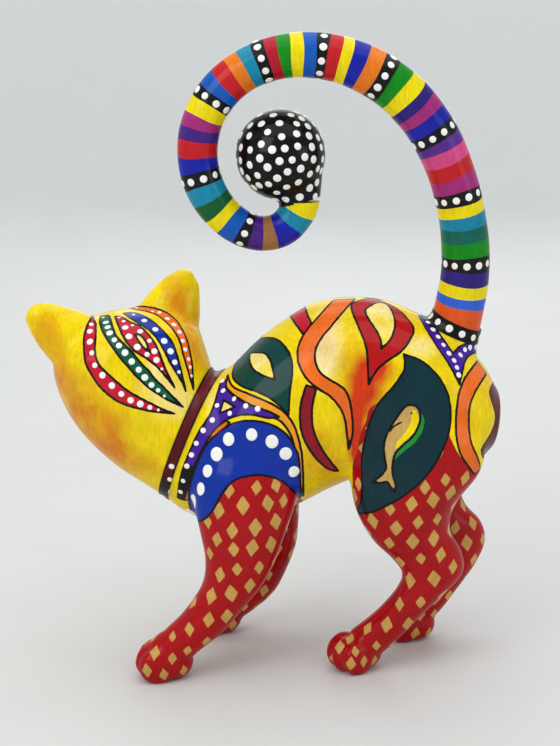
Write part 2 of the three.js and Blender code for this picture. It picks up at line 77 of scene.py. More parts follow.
LEFT_EAR_HOOPS = [
    [-106, 208, -124, 180, -1, 9], [-113, 215.5, -136, 187.5, -2, 13],
    [-121.5, 219, -140, 192.5, -3, 12], [-130.5, 222, -144, 198.5, -4.5, 9.5],
    [-138.5, 224, -147, 205, -6, 7.5], [-144.5, 223, -149.5, 211.5, -7, 5],
]
RIGHT_EAR_HOOPS = [
    [-88, 203, -54, 190, 17, 9], [-88.5, 213.5, -50, 202, 18, 13], [-82.5, 221.5, -48.5, 211, 19, 12],
    [-76, 229, -48.5, 221, 20.5, 9.5], [-69, 235, -49, 229.5, 22, 7.5], [-63, 238, -52.5, 236, 23, 5],
]
FRONT_LEFT_HOOPS = [
    [-36, 152, -2, 152, -24, 13], [-47, 131, 9, 130, -28.5, 17.5], [-50.5, 110, 9.5, 111, -31.5, 18.5],
    [-47.5, 92.5, 4.5, 94.5, -34, 17], [-44.5, 76.5, -2.5, 75, -35, 15.5],
    [-45.5, 62.5, -10.5, 59, -35.5, 14], [-51, 51, -21.5, 45, -35.5, 13],
    [-60, 39, -33, 30.5, -35.5, 12], [-69, 30.5, -47, 18.5, -35.5, 11.5],
    [-77.5, 23.6, -58, 8, -35, 11],
]
FRONT_RIGHT_HOOPS = [
    [-36, 152, 2, 152, 24, 13], [-45, 131, 11, 130, 29, 17.5], [-43, 110, 13, 111, 32.5, 18.5],
    [-35, 93, 12.5, 95, 35, 17], [-28, 77, 12, 77, 36.5, 15.5], [-23, 62, 10.5, 60, 37, 14],
    [-23, 48, 5, 44, 37, 13], [-30, 36, -3, 28, 37, 12], [-39, 29, -14, 17, 37, 11.5],
    [-48.5, 22.8, -26, 8, 37, 11],
]
HIND_LEFT_HOOPS = [
    [58, 182, 110, 180, -22, 13], [47, 153, 119, 152, -25.5, 21], [41.5, 127.5, 119, 129.5, -27, 22.5],
    [44.5, 105, 105, 109, -27, 21], [54, 86, 101, 92, -26.5, 18], [67, 72.5, 108.5, 77, -26, 15],
    [73.5, 62.5, 110, 64, -25.5, 13.5], [70.5, 53, 100, 51, -25, 12.5], [63.5, 43, 87, 37, -24, 11.5],
    [54, 33, 74, 22, -23, 11.5], [43.5, 24, 62, 9.5, -21.5, 11],
]
HIND_RIGHT_HOOPS = [
    [62, 182, 112, 180, 22, 13], [52, 153, 121, 152, 25.5, 21], [50, 128, 123, 130, 27, 22.5],
    [56, 106, 113, 108, 27, 21], [70, 88, 116.5, 90, 27, 18], [84, 75, 127, 78, 26.5, 15],
    [91, 64, 130, 65, 26.5, 13.5], [92, 53, 124, 50, 26, 12.5], [88, 42, 113.5, 34, 26, 11.5],
    [82, 33, 103, 19, 26, 11.5], [72.5, 23.5, 93, 8.5, 26, 11],
]
# The tail, from inside the rump to inside the ball: [x, y, z, radius].
TAIL_STATIONS = [
    [101, 0, 197, 15.2], [104.2, -0.5, 210, 15], [106.8, -1.7, 223.6, 14.5], [108.7, -3.6, 238.9, 14.3],
    [108.5, -5.6, 255, 14], [106.4, -7.6, 271.4, 13.7], [102.6, -9.6, 287.8, 13.5],
    [97.2, -11.4, 303.7, 13.5], [90.1, -13.1, 318.8, 13.6], [81.1, -14.7, 332.5, 13.6],
    [70.1, -16, 344.5, 13.6], [57, -17, 354.4, 13.5], [42.2, -17.9, 361.8, 13.3],
    [26.1, -18.5, 366.1, 12.9], [9.5, -18.8, 367.1, 12.5], [-6.9, -18.9, 364.2, 12],
    [-21.8, -18.8, 357.4, 11.7], [-34.2, -18.5, 346.8, 11.6], [-42.9, -18, 333, 11.5],
    [-46.8, -17.4, 317.2, 11.5], [-45.5, -16.8, 300.6, 11.4], [-38.8, -16.1, 285.1, 11.1],
    [-27.4, -15.4, 272.8, 10.6], [-12.8, -14.9, 266.4, 10.2], [1.5, -14.5, 269, 10.2],
    [10.5, -14.2, 280, 10.8], [10.5, -14, 291, 13.4], [7.2, -14, 302, 18], [3.6, -14, 309, 20.5],
]
TAIL_ROOT_STATIONS = [
    [88, 0, 176, 27], [95, 0, 188, 22], [100, 0, 197.5, 17.8], [103.2, -0.2, 205, 15.9],
    [105.4, -0.5, 213, 15.2],
]
BALL_CENTRE = np.array([0.3, -14.0, 311.3])
BALL_RADIUS = 25.7
COLLAR_POINT, COLLAR_NORMAL = np.array([-54.5, 0, 141]), np.array([-75, 13, 30])
TAIL_JOINT_POINT, TAIL_JOINT_NORMAL = np.array([103.9, -0.3, 209.5]), np.array([0.4, -0.08, 0.91])
BALL_JOINT_POINT, BALL_JOINT_NORMAL = np.array([10.5, -14, 284.5]), np.array([-0.26, 0, 1])
HEAD_MIDDLE = np.array([-88.0, 8.0, 174.0])
COLLAR_WIDTH, TAIL_BAND_WIDTH, BAND_THICKNESS = 6.5, 8.0, 0.9

# name, hoops, arch [middle, spring, radius, foot left, foot right, foot height], side, paw middle, heading
FRONT_ARCH = (-16, 100.5, 28, -80, 40, 95)
HIND_ARCH = (81, 102, 36, 20, 150, 99)
LEGS = [
    ("front_left", FRONT_LEFT_HOOPS, FRONT_ARCH, -1, (-68.5, -34.5, 10), 0.12),
    ("front_right", FRONT_RIGHT_HOOPS, FRONT_ARCH, 1, (-41, 36.5, 10), 0.0),
    ("hind_left", HIND_LEFT_HOOPS, HIND_ARCH, -1, (47.5, -20.5, 10), 0.62),
    ("hind_right", HIND_RIGHT_HOOPS, HIND_ARCH, 1, (83, 26, 10), 0.0),
]

# The eye point that the motifs were laid out from, and the middle of the figure, in the stations' frame.
AIM = np.array([0.0, 0.0, 180.0])
VIEW_TILT = math.radians(13)
VIEW_DISTANCE = 900.0
EYE = AIM + VIEW_DISTANCE * np.array([0, -math.cos(VIEW_TILT), math.sin(VIEW_TILT)])

# Motif outlines in millimetres on the upright plate y = 0, as seen from the eye point.
HEAD_STRIPE_CRIMSON = [
    (-111.5, 214.8), (-115, 208.7), (-117, 201.4), (-117.2, 192.9), (-116.2, 185.5), (-114, 180.6),
    (-110.6, 174.5), (-105.9, 168.9), (-100, 163.9), (-92.9, 160.2), (-85.7, 158.1), (-78.5, 156.5),
    (-63.8, 154.8), (-71.2, 157.7), (-78.4, 161.4), (-85.5, 165.2), (-91.5, 168.9), (-97.3, 173.8),
    (-103.2, 179.4), (-107.9, 184.3), (-110.1, 189.2), (-110.6, 195.3), (-110, 202.7), (-109.8, 209.9),
]
HEAD_STRIPE_GREEN = [
    (-106.5, 214.8), (-107.2, 211.2), (-105.5, 205.1), (-102.1, 199), (-98.1, 192.9), (-94.6, 188),
    (-89.9, 182.5), (-85.3, 176.9), (-79.4, 171.4), (-73.4, 167), (-67.5, 163.3), (-58.5, 159),
    (-66.2, 167), (-70.9, 172), (-75.7, 176.9), (-79.2, 181.8), (-83.9, 186.8), (-88.5, 192.9),
    (-93.2, 197.8), (-97.8, 202.7), (-99.8, 208.7), (-101.1, 213.6), (-102.3, 215.4),
]
HEAD_PETAL_RED = [
    (-98.1, 214.8), (-96.5, 209.9), (-94.2, 203.9), (-90.8, 197.8), (-86.1, 192.9), (-80.2, 189.2),
    (-75.5, 185.5), (-70.8, 180.6), (-66.1, 174.5), (-63.4, 171.1), (-68.4, 181.8), (-70.7, 188),
    (-72.9, 194.1), (-75.2, 199), (-78.7, 203.9), (-83.4, 208.7), (-89.3, 211.2), (-94, 214.2),
]
HEAD_PETAL_EYE = [
    (-86.8, 203.6), (-83.5, 203.3), (-80, 199), (-77.8, 192.3), (-81.9, 195.9), (-84.8, 200.2),
]
HEAD_STRIPE_BLUE = [
    (-93.3, 216.6), (-89.2, 213.6), (-83.4, 209.9), (-77.5, 205.7), (-72.8, 200.2), (-69.4, 194.1),
    (-65.9, 186.8), (-62.4, 180.6), (-58.9, 174.5), (-56.6, 168.9), (-58.6, 178.2), (-60.2, 185.5),
    (-62.2, 192.9), (-64.5, 199), (-68, 203.9), (-73.8, 209.9), (-79.7, 214.2), (-86.8, 217),
]
HEAD_STRIPE_ORANGE = [
    (-89.7, 219.6), (-84.4, 218.4), (-77.3, 217), (-71.4, 214.2), (-65.5, 208.7), (-62, 203.9),
    (-59.7, 199), (-58, 191.7), (-56.3, 185.5), (-54.6, 179.4), (-52, 169.8), (-52.5, 184.3),
    (-53.8, 192.9), (-55.5, 200.2), (-58.4, 206.9), (-61.9, 212.4), (-67.8, 217), (-74.9, 219.6),
    (-83.1, 220.6),
]
CHEST_RIBBON_PURPLE = [
    (-59, 100.2), (-62.6, 101.5), (-61.7, 109.2), (-59.7, 118.1), (-56.5, 127), (-52.8, 135.8),
    (-48.4, 144.6), (-43.5, 152.1), (-40.4, 158.3), (-38.5, 164.5), (-36.7, 170.7), (-34.8, 175.7),
    (-31.8, 175.7), (-32.5, 170.7), (-28.9, 167), (-24.1, 163.3), (-18.1, 160.2), (-10.9, 157.7),
    (-4.8, 155.2), (-0.6, 152.7), (-7.3, 152.1), (-15.7, 154), (-24.2, 154), (-31.4, 151.5),
    (-37.5, 147.1), (-42.4, 140.8), (-46.7, 133.3), (-51.1, 124.4), (-54.9, 114.3), (-57.4, 106.6),
]
CHEST_RIBBON_BLACK = [
    (-59, 100.2), (-62.6, 101.5), (-61.7, 109.2), (-59.7, 118.1), (-57.8, 123.4), (-52.1, 121.9),
    (-54.9, 114.3), (-57.4, 106.6),
]
CHEST_TRIANGLE = [
    (-34, 163.3), (-27.1, 159), (-36.2, 155.2),
]
CHEST_SLIVER = [
    (-58.7, 100.2), (-54.9, 113), (-50.5, 125.7), (-45.5, 137.1), (-40, 144.6), (-32.6, 150.8),
    (-30.2, 149), (-37.6, 141.5), (-42.8, 134.5), (-47.7, 124.4), (-51.9, 112.4), (-54.7, 100.2),
]
SHOULDER_SWEEP = [
    (-31.4, 178.8), (-30, 174.2), (-27.1, 170.7), (-20.5, 167.8), (-10.8, 163.6), (-2.4, 159.5),
    (3.6, 154.6), (8.5, 147.6), (11.5, 138.3), (13.6, 125.7), (14.4, 102.8), (11, 113), (9.1, 132),
    (6.1, 142.1), (1.2, 149.3), (-6, 153.6), (-13.3, 157.7), (-24.1, 163.9), (-28.9, 167.3), (-32.5, 172),
]
CHEST_PATCH_BLUE = [
    (-52.2, 85.4), (-55.1, 95.1), (-55.6, 106.6), (-51.1, 121.9), (-44.3, 135.8), (-35.1, 144.6),
    (-25.4, 149.6), (-14.5, 150.2), (-4.8, 147.7), (3.6, 142.1), (8.5, 134.5), (11.6, 125.7),
    (12.8, 102.8), (12.2, 101.5), (8.6, 105.4), (2.4, 111.7), (-4.9, 114.9), (-13.4, 116.2), (-22, 114.9),
    (-29.3, 111.7), (-35.5, 104.1), (-40.4, 95.1), (-45.4, 88.7), (-51, 86.1),
]
SHOULDER_TEARDROP_GREEN = [
    (-28.6, 179.4), (-26.4, 186.8), (-21.5, 194.1), (-14.3, 200.2), (-7.2, 201.7), (-1.2, 200.2),
    (3.6, 195.3), (6.6, 189.2), (7.4, 180.6), (6, 169.5), (5.2, 154), (0, 159.6), (-6, 164.5),
    (-13.2, 168.3), (-20.4, 170.7), (-26.4, 174.5),
]
SHOULDER_TEARDROP_EYE = [
    (-17.9, 192.3), (-9.6, 192.3), (-6, 188), (-4.2, 181.8), (-3, 175.9), (-9.6, 178.2), (-15.6, 181.8),
    (-18, 186.8),
]
BACK_PATCH_CRIMSON = [
    (5.9, 215.4), (14.9, 219.6), (16.7, 214.5), (18.6, 209.3), (14.2, 203.3), (9.7, 209.3),
]
FLANK_RIBBON_ORANGE = [
    (32.6, 224.5), (29.7, 222.2), (22.3, 213.9), (14.9, 204.8), (11.2, 197.2), (10.5, 189.5),
    (12.7, 181.8), (17.3, 174.9), (24.1, 169.5), (30.1, 165.6), (36.2, 158.6), (39.3, 150.8),
    (40.6, 141.5), (41.7, 132), (43.9, 141.5), (43.8, 150.8), (42.2, 161.8), (39.1, 169.5), (33, 174.1),
    (25.5, 178.8), (21.7, 184.9), (20.9, 192.6), (23.9, 200.2), (29.8, 207.8), (37.2, 216.9),
    (44.5, 225.2),
]
BACK_TEARDROP_RED = [
    (42.3, 222.2), (50.4, 225.2), (59.3, 224.2), (69.8, 219.2), (76.6, 212.4), (79.7, 207.1),
    (77.6, 200.2), (71.8, 192.6), (62.9, 186.5), (57, 180.3), (53.3, 172.6), (52.8, 183.4), (51.5, 195.6),
    (47.7, 206.3), (43.1, 216.9),
]
BACK_TEARDROP_EYE = [
    (51.2, 219.2), (57.9, 222.9), (63.8, 221.4), (67.6, 215.4), (68.5, 207.8), (65.7, 200.2),
    (60.5, 194.9), (59.7, 201.7), (55.1, 209.3), (51.3, 215.4),
]
BELLY_RIBBON_CRIMSON = [
    (15.8, 172.6), (12.8, 161.8), (12.1, 150.8), (13.6, 141.5), (18.2, 132), (24.3, 124.1), (30.5, 119.4),
    (35.8, 118.6), (31.2, 124.1), (25.8, 132), (21.2, 141.5), (19.3, 150.8), (19.6, 160.2), (21.8, 170.3),
]
THIGH_LEAF_TEAL = [
    (74, 191.5), (83.8, 188), (91.5, 181.8), (97.6, 174.1), (101.6, 164.9), (103.1, 154), (102.2, 143),
    (98.7, 132), (92.9, 120.9), (85.4, 111.4), (76.4, 103.4), (68.9, 98.6), (61.3, 94.6), (55.2, 92.2),
    (46, 91.4), (49.7, 100.2), (50, 113), (49.5, 122.5), (50.8, 135.2), (53.7, 147.7), (58.8, 160.2),
    (67.7, 171.1), (72, 177.2), (74.9, 183.4),
]
THIGH_FISH_GLOW = [
    (84.5, 157.1), (87.3, 150.8), (86.1, 143.8), (82.2, 137.2), (76.8, 132.3), (71.7, 127.9),
    (69.3, 125.4), (69.9, 130.1), (74.8, 135.8), (80, 140.8), (83.2, 146.5), (84.3, 152.7),
]
THIGH_FISH_GOLD = [
    (75.4, 159), (69.5, 150.8), (64.8, 142.1), (63, 134.1), (63.8, 126.5), (64.6, 120.2), (61, 115.4),
    (56.4, 111.7), (61, 111.1), (65.3, 111.7), (67.9, 108.2), (70.3, 105.4), (70.5, 110.6), (68.9, 115.4),
    (68.5, 122.5), (70.2, 130.1), (74.8, 135.2), (80, 140.2), (83.5, 146.2), (84.9, 152.7), (83.3, 158.2),
    (79.4, 160.2),
]
THIGH_FISH_BELLY = [
    (80.8, 157.9), (83.8, 152.7), (82.7, 146.5), (79.5, 141.5), (74.3, 136.7), (70.6, 132.6), (70.4, 136),
    (73.9, 140.7), (77.5, 145.8), (79.5, 150.8), (79.4, 155.5),
]
FISH_EYE = [
    (78.3, 155.1), (79.4, 156), (80.4, 155.1), (79.4, 154),
]
FISH_FIN = [
    (66, 144), (67.8, 146.8), (71.3, 149), (73.9, 149.9), (73.8, 149.1), (71.4, 147.7), (68.4, 145.5),
    (66.9, 143),
]
TAIL_ROOT_PURPLE = [
    (82.5, 214.9), (87, 213.9), (91.6, 208.6), (95.7, 203), (99.8, 197.5), (103.6, 192.1), (106.4, 195.3),
    (109.8, 197.5), (113.5, 198.4), (118.7, 198.4), (119.2, 193.2), (114.4, 191.7), (111.2, 188.3),
    (109.6, 181.8), (107.9, 172.9), (105, 178.8), (100.8, 186), (96.5, 192.3), (92.6, 198.2),
    (87.9, 205.5),
]
RUMP_RIBBON_ORANGE = [
    (118.3, 187.2), (111.1, 177.2), (107.6, 166.4), (106.4, 154), (106.8, 141.5), (109.3, 130.4),
    (114.1, 122.5), (118.6, 116.5), (121.8, 120.9), (120.1, 127.3), (116, 136.7), (114.2, 147.7),
    (114.6, 160.2), (118.1, 169.5), (123.8, 179.5),
]
RUMP_PATCH_MAROON = [
    (128.4, 174.1), (126.1, 168), (128.9, 158.6), (130.2, 150.8), (127.2, 141.5), (122.2, 132),
    (124.7, 125.4), (139.4, 138.3), (141.9, 154), (138.3, 171.1),
]
FRONT_LEG_RED = [
    (-52.2, 85.4), (-45.4, 88.7), (-40.4, 95.1), (-35.5, 104.1), (-29.3, 111.7), (-22, 114.9),
    (-13.4, 116.2), (-4.9, 114.9), (2.4, 111.7), (8.6, 105.4), (12.8, 100.9),
]
HIND_LEG_RED = [
    (44.1, 122.2), (46.8, 130.4), (48.8, 141.5), (52.1, 150.8), (55.2, 159.4), (67.8, 163.3),
    (90.4, 163.3), (99.8, 147.7), (104.6, 136.7), (109.4, 128.1), (114.4, 121.7), (118.6, 116.5),
    (122.5, 120.6),
]
DOTS_HEAD = [
    (-112.4, 209.7), (-113.3, 205.5), (-113.5, 199.2), (-112.6, 192.3), (-111, 184.7), (-106.6, 178.6),
    (-101.1, 172.2), (-95.5, 167), (-90, 163.1), (-84.2, 160.8), (-78.5, 158.7), (-73.4, 157.1),
    (-105.2, 213.8), (-103.7, 210.9), (-102.7, 208), (-101.6, 204.5), (-98.9, 200.3), (-96.2, 196.8),
    (-92.7, 192.5), (-88.8, 187), (-84.7, 182), (-81.2, 177.2), (-77.2, 172.6), (-73.3, 169.3),
    (-69.6, 165.8), (-95.8, 213.8), (-93.1, 211.6), (-92.2, 207.8), (-90.1, 202.4), (-87.9, 209.1),
    (-83.3, 205.5), (-85.3, 195.9), (-79.5, 191.4), (-78, 199.7), (-75.1, 193.3), (-73.9, 188),
    (-70.8, 182.5), (-87.1, 215.6), (-80.8, 212), (-74.3, 206.7), (-69.1, 199.6), (-65.4, 193.3),
    (-63, 186.6), (-60.6, 180.6), (-85.3, 219.5), (-75.8, 217.5), (-71.7, 216.9), (-67, 213.2),
    (-63.1, 209.6), (-59.9, 205.1), (-58, 199.6), (-56.6, 194.4), (-54.7, 188.5), (-53.8, 183.6),
    (-53.1, 178.2),
]
DOTS_COLLAR = [
    (-66, 121.6), (-67.2, 113.3), (-67.7, 106.2),
]
DOTS_CHEST = [
    (-60.8, 105.4), (-59.1, 112.4), (-56.7, 121.8), (-53.8, 128.9), (-50.8, 136.2), (-46.5, 144.3),
    (-40.9, 150.8), (-38, 159.9), (-34.2, 169.1), (-34.8, 175.1), (-27.7, 164), (-20.7, 159.6),
    (-13.5, 157.8), (-30.4, 155),
]
DOTS_PATCH = [
    (-54.8, 92.5), (-52.6, 99.5), (-48.6, 107.3), (-44.2, 118.7), (-38.5, 129.4), (-31.2, 138.8),
    (-17.2, 141.7), (-4.9, 137.3), (3.5, 129.7), (8.5, 118.3),
]
DOTS_TAILROOT = [
    (88.1, 210.9), (91.2, 206.6), (94.3, 202.2), (97.7, 197.2), (101.1, 192.1), (104.3, 187.7),
    (106.1, 183.4), (107.3, 178.8), (108, 191.1), (110.6, 194.3), (113.6, 195.6), (116.8, 195.9),
]
DOTS_BALL = [
    (-3.9, 332.8), (6.3, 332.8), (-10.8, 327.8), (-0.3, 328.2), (9.7, 327.8), (16.2, 326.4),
    (-17.3, 326.8), (-7.2, 323.1), (-17.9, 320.9), (-22.7, 321.1), (1, 320.4), (9.7, 322.1), (16.9, 320.9),
    (22, 319.9), (-10.9, 316.1), (-4.6, 312.9), (2.8, 313.6), (10.3, 314.9), (18.6, 314.5), (-22.8, 314.2),
    (-17.4, 312.8), (22, 312), (-11.8, 307.9), (-0.3, 306.3), (7.1, 307), (14.5, 308.7), (19.6, 307.3),
    (-23.1, 306.7), (-17.7, 304.1), (-7.3, 302.7), (22.1, 301.9), (4.4, 300.1), (12.1, 301.9),
    (-13.1, 298), (-18.6, 296.6), (-1.6, 296.4), (17.5, 298.8), (-6.7, 292.9), (-12.2, 292.2), (10.8, 294),
    (3.9, 291.2), (17.4, 290.8), (21.6, 294), (-7.9, 288.9), (-1.9, 287.9), (3.2, 284.2), (11.5, 285.5),
    (20.7, 285.8), (-2.5, 284.1),
]
FRONT_DIAMONDS = [
    (-31.3, 106.6), (-14.3, 108.2), (-2.5, 109.6), (-37.6, 93.3), (-22.7, 96.5), (-7.4, 98.1), (2.2, 99.7),
    (-44.5, 86.3), (-29.4, 80.4), (-15.2, 82.5), (-2.4, 86.3), (-38.8, 74.8), (-49.7, 80.4), (-43.4, 65.8),
    (-28.6, 68.3), (-17, 69.6), (-5.4, 71.5), (-37.2, 51.8), (-26.5, 55.4), (-12.8, 56.5), (-42.8, 37.9),
    (-30.3, 39.3), (-18.6, 44.5), (-53.9, 33.5), (-56.7, 15.8), (-44.4, 21.9), (-33, 24.3), (-45.9, 7.4),
    (-57.9, 1.3), (-67.2, 10.8), (-67.5, -3.8), (-78.4, 0.2), (-83.8, -12.2),
]
HIND_DIAMONDS = [
    (103.5, 132), (108, 122.5), (96.9, 120.4), (113.1, 114.1), (101, 113), (88.6, 108.2), (104.4, 104.7),
    (93.8, 100.2), (80.6, 97.6), (67.4, 94.4), (47.8, 110.4), (45.4, 102.9), (56.8, 86.8), (71.4, 82),
    (84.8, 85.8), (96.7, 87.9), (67.3, 72.3), (81.8, 73.4), (94.7, 75.5), (99.3, 64.9), (87, 62.3),
    (107.2, 56.9), (80.6, 48.3), (95.5, 49.2), (100.9, 38.5), (74.3, 32.4), (87.6, 33.5), (66.6, 18.6),
    (80.1, 19.1), (54.6, 16.3), (60.5, 4.6), (47.3, 0.7), (43.8, 9.1), (37.1, 4.1), (44.5, -7.7),
    (52.8, -6),
]

# Leg paint reaches down from these edges to the floor.
FRONT_LEG_RED += [(20, 95), (45, 60), (45, -40), (-120, -40), (-120, 60), (-66, 84)]
HIND_LEG_RED += [(165, 100), (165, -40), (45.1, -40), (45.1, 60)]

# The face is the maker's own, drawn on the hidden side of the head: across and up, in millimetres.
EYE_OUTLINE = [(-25, 9), (-19, 14), (-12, 13), (-7.5, 6.5), (-13, 4.5), (-20, 5)]
EYE_IRIS = [(-20.5, 9.3), (-16.2, 13.4), (-12, 9.3), (-16.2, 5.2)]
EYE_PUPIL = [(-17.4, 9.3), (-16.2, 12.6), (-15, 9.3), (-16.2, 6)]
NOSE = [(-5.5, -1), (0, 0.6), (5.5, -1), (0, -7)]
MOUTH = [(-0.6, -7), (0.6, -7), (0.9, -12), (6, -16), (12, -14.5), (12.3, -15.6), (6, -17.6), (0, -13.6),
         (-6, -17.6), (-12.3, -15.6), (-12, -14.5), (-6, -16), (-0.9, -12)]
BROW_LEAF = [(0, 14), (3.6, 20), (4.2, 27), (0, 35), (-4.2, 27), (-3.6, 20)]
CHEEK_LEAF = [(-34, -2), (-27, -1), (-20, -6), (-17, -13), (-25, -12), (-31, -8)]
FACE_RIBBON = [(-36, 15), (-29, 22), (-20, 26), (-11, 24), (-12, 28), (-21, 31), (-31, 27)]

TAIL_COLOURS = {
    "k": "#101013", "o": "#e4571f", "b": "#1420a4", "z": "#1058b4", "y": "#f2dc04", "i": "#2c1d78",
    "g": "#0a8a16", "d": "#0c6658", "t": "#1287a8", "m": "#a32a78", "r": "#c41c22", "p": "#d84a86",
    "v": "#5a2a90", "c": "#b5162c", "n": "#0c5a2c", "u": "#45207e", "a": "#a06c40", "w": "#2f63d6",
    "e": "#e87a1c",
}
# One letter for each band, from the rump to the ball, and where each band but the first starts.
TAIL_BANDS = "owyikgdtykmrpvkbmiygkebyrkzygckterzkymurbktnyzkuabtyk"
TAIL_BAND_STARTS = [
    0, 6.3, 14.2, 22.3, 30.8, 40.2, 47.8, 55.4, 62.6, 70, 78.4, 87.6, 95.3,
    101.3, 109.3, 116.4, 123.1, 130, 137.9, 145.5, 154, 162.1, 169.9, 176.3, 182.7, 188.7,
    196.1, 202.5, 208.9, 215.6, 221.9, 228.7, 236.4, 244, 250.9, 257.7, 265.4, 272.1, 279.3,
    288, 295.9, 304.6, 313.4, 321.6, 329.1, 337.1, 344.1, 351.4, 358, 367.6, 375.8, 381.6,
]

# ---------------------------------------------------------------- sizes and colours that a user may change


def linear(code):
    """sRGB hex such as "#f2cf12", as the linear red, green and blue that Blender works in."""
    parts = [int(code[i:i + 2], 16) / 255 for i in (1, 3, 5)]
    return [c / 12.92 if c <= 0.04045 else ((c + 0.055) / 1.055) ** 2.4 for c in parts]


def colour(name, description, code):
    return bpy.props.FloatVectorProperty(
        name=name, description=description, subtype="COLOR", size=3, min=0, max=1, default=linear(code))


class CatSizes(bpy.types.PropertyGroup):
    skin_cell: bpy.props.FloatProperty(
        name="Skin cell", description="Cell size of the joined skin",
        default=0.00105, min=0.0008, unit="LENGTH")
    fillet_steps: bpy.props.IntProperty(
        name="Fillet steps", description="How far pulp fills the creases where limbs join", default=60, min=0)
    outline: bpy.props.FloatProperty(
        name="Outline", description="Width of the black brush line round a motif",
        default=0.0014, unit="LENGTH")
    dot_height: bpy.props.FloatProperty(
        name="Dot height", description="How far a white dot stands proud", default=0.00035, unit="LENGTH")
    head_dot: bpy.props.FloatProperty(
        name="Head dot", description="Width of a dot on the head", default=0.0031, unit="LENGTH")
    tail_dot: bpy.props.FloatProperty(
        name="Tail dot", description="Width of a dot on the tail", default=0.0043, unit="LENGTH")
    ball_dot: bpy.props.FloatProperty(
        name="Ball dot", description="Width of a dot on the ball", default=0.0045, unit="LENGTH")
    diamond: bpy.props.FloatProperty(
        name="Diamond", description="Height of a gold diamond on a leg", default=0.0106, unit="LENGTH")


class CatColours(bpy.types.PropertyGroup):
    yellow: colour("Yellow", "Ground coat of the head and trunk", "#f6d800")
    orange_wash: colour("Orange wash", "Thin orange rubbed over the yellow", "#e08608")
    blush: colour("Blush", "Red orange blended into the yellow", "#d83a0c")
    # Ivory for the petals; the same colour also lays one painted highlight on the back, a pale spot standing
    # in for a reflection.
    cream_and_highlight: colour("Cream", "Pale lights in the petals", "#fbe9a0")
    leg_red: colour("Leg red", "Ground coat of the legs", "#a8060e")
    gold: colour("Gold", "Diamonds and the fish", "#c89c50")
    fish_gold: colour("Fish gold", "Paler gold of the fish", "#c9a25a")
    sweep: colour("Sweep", "Orange line over the shoulder", "#f29a1e")
    crimson: colour("Crimson", "Stripe, petal and patch", "#c4142e")
    red: colour("Red", "Teardrop on the back", "#b40c10")
    dark_crimson: colour("Dark crimson", "Ribbon over the belly", "#8e1024")
    orange: colour("Orange", "Ribbons over the flank and rump", "#ee6c1c")
    teal: colour("Teal", "Large leaf on the thigh", "#062f38")
    green: colour("Green", "Teardrop on the shoulder", "#04403a")
    head_green: colour("Head green", "Stripe on the head", "#08603e")
    blue: colour("Blue", "Chest patch and stripe", "#06309e")
    purple: colour("Purple", "Dotted ribbons", "#44189a")
    maroon: colour("Maroon", "Collar and rump patch", "#5a060e")
    leaf_green: colour("Leaf green", "Glow round the fish", "#1f8a2c")
    black: colour("Black", "Outlines, bands and ball", "#08080a")
    white: colour("White", "Dots", "#fbfaf4")


# ---------------------------------------------------------------- shapes

ball_low, ball_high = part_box("tail_ball")
# The stations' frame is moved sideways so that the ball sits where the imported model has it.
PLACE = np.array([
    (ball_low.x + ball_high.x) / 2 / MM - BALL_CENTRE[0],
    (ball_low.y + ball_high.y) / 2 / MM - BALL_CENTRE[1],
    0.0,
])


def unit(vector):
    vector = np.asarray(vector, float)
    return vector / np.linalg.norm(vector)


EARWARD = unit([0.895, 0.286, 0.343])
FACEWARD = np.array([-0.27, 0.93, -0.245])
FACEWARD = unit(FACEWARD - EARWARD * (FACEWARD @ EARWARD))
CROWNWARD = np.cross(EARWARD, FACEWARD)


def on_head(e, f, c):
    return HEAD_MIDDLE + EARWARD * e + FACEWARD * f + CROWNWARD * c


def spline(points, t):
    """Points of a smooth run through the given rows, at the parts t of its length in rows."""
    points = np.asarray(points, float)
    last = len(points) - 1
    steps = np.clip(t, 0, 1) * last
    i = np.minimum(steps.astype(int), last - 1)
    w = (steps - i)[:, None]
    rows = np.vstack([2 * points[0] - points[1], points, 2 * points[-1] - points[-2]])
    before, start, end, after = rows[i], rows[i + 1], rows[i + 2], rows[i + 3]
    leave, arrive = (end - before) / 2, (after - start) / 2
    return (start + leave * w + (3 * end - 3 * start - 2 * leave - arrive) * w ** 2
            + (2 * start - 2 * end + leave + arrive) * w ** 3)


def hoops_of(rows, grow=0.0):
    rows = np.asarray(rows, float)
    a = np.stack([rows[:, 0], rows[:, 4], rows[:, 1]], 1)
    b = np.stack([rows[:, 2], rows[:, 4], rows[:, 3]], 1)
    long = (a - b) / 2
    length = np.linalg.norm(long, axis=1, keepdims=True)
    deep = np.zeros_like(long)
    deep[:, 1] = rows[:, 5] + grow
    return (a + b) / 2, long * (length + grow) / length, deep


def tube_hoops(stations, grow=0.0):
    stations = np.asarray(stations, float)
    t = np.linspace(0, 1, len(stations))
    line = stations[:, :3]
    tangent = spline(line, np.minimum(t + 1e-3, 1)) - spline(line, np.maximum(t - 1e-3, 0))
    long = np.cross(tangent, [0, 1, 0])
    long /= np.linalg.norm(long, axis=1, keepdims=True)
    deep = np.cross(long, tangent)
    deep /= np.linalg.norm(deep, axis=1, keepdims=True)
    radius = stations[:, 3:4] + grow
    return stations[:, :3], long * radius, deep * radius


def grid_faces(rows, sides, first=0):
    """Quads between neighbouring rings, and a fan at each end of the grid."""
    faces = []
    for j in range(rows - 1):
        for k in range(sides):
            a, b = first + j * sides + k, first + j * sides + (k + 1) % sides
            faces.append((a, b, b + sides, a + sides))
    start, end = first + rows * sides, first + rows * sides + 1
    for k in range(sides):
        faces.append((start, first + (k + 1) % sides, first + k))
        faces.append((end, first + (rows - 1) * sides + k, first + (rows - 1) * sides + (k + 1) % sides))
    return faces


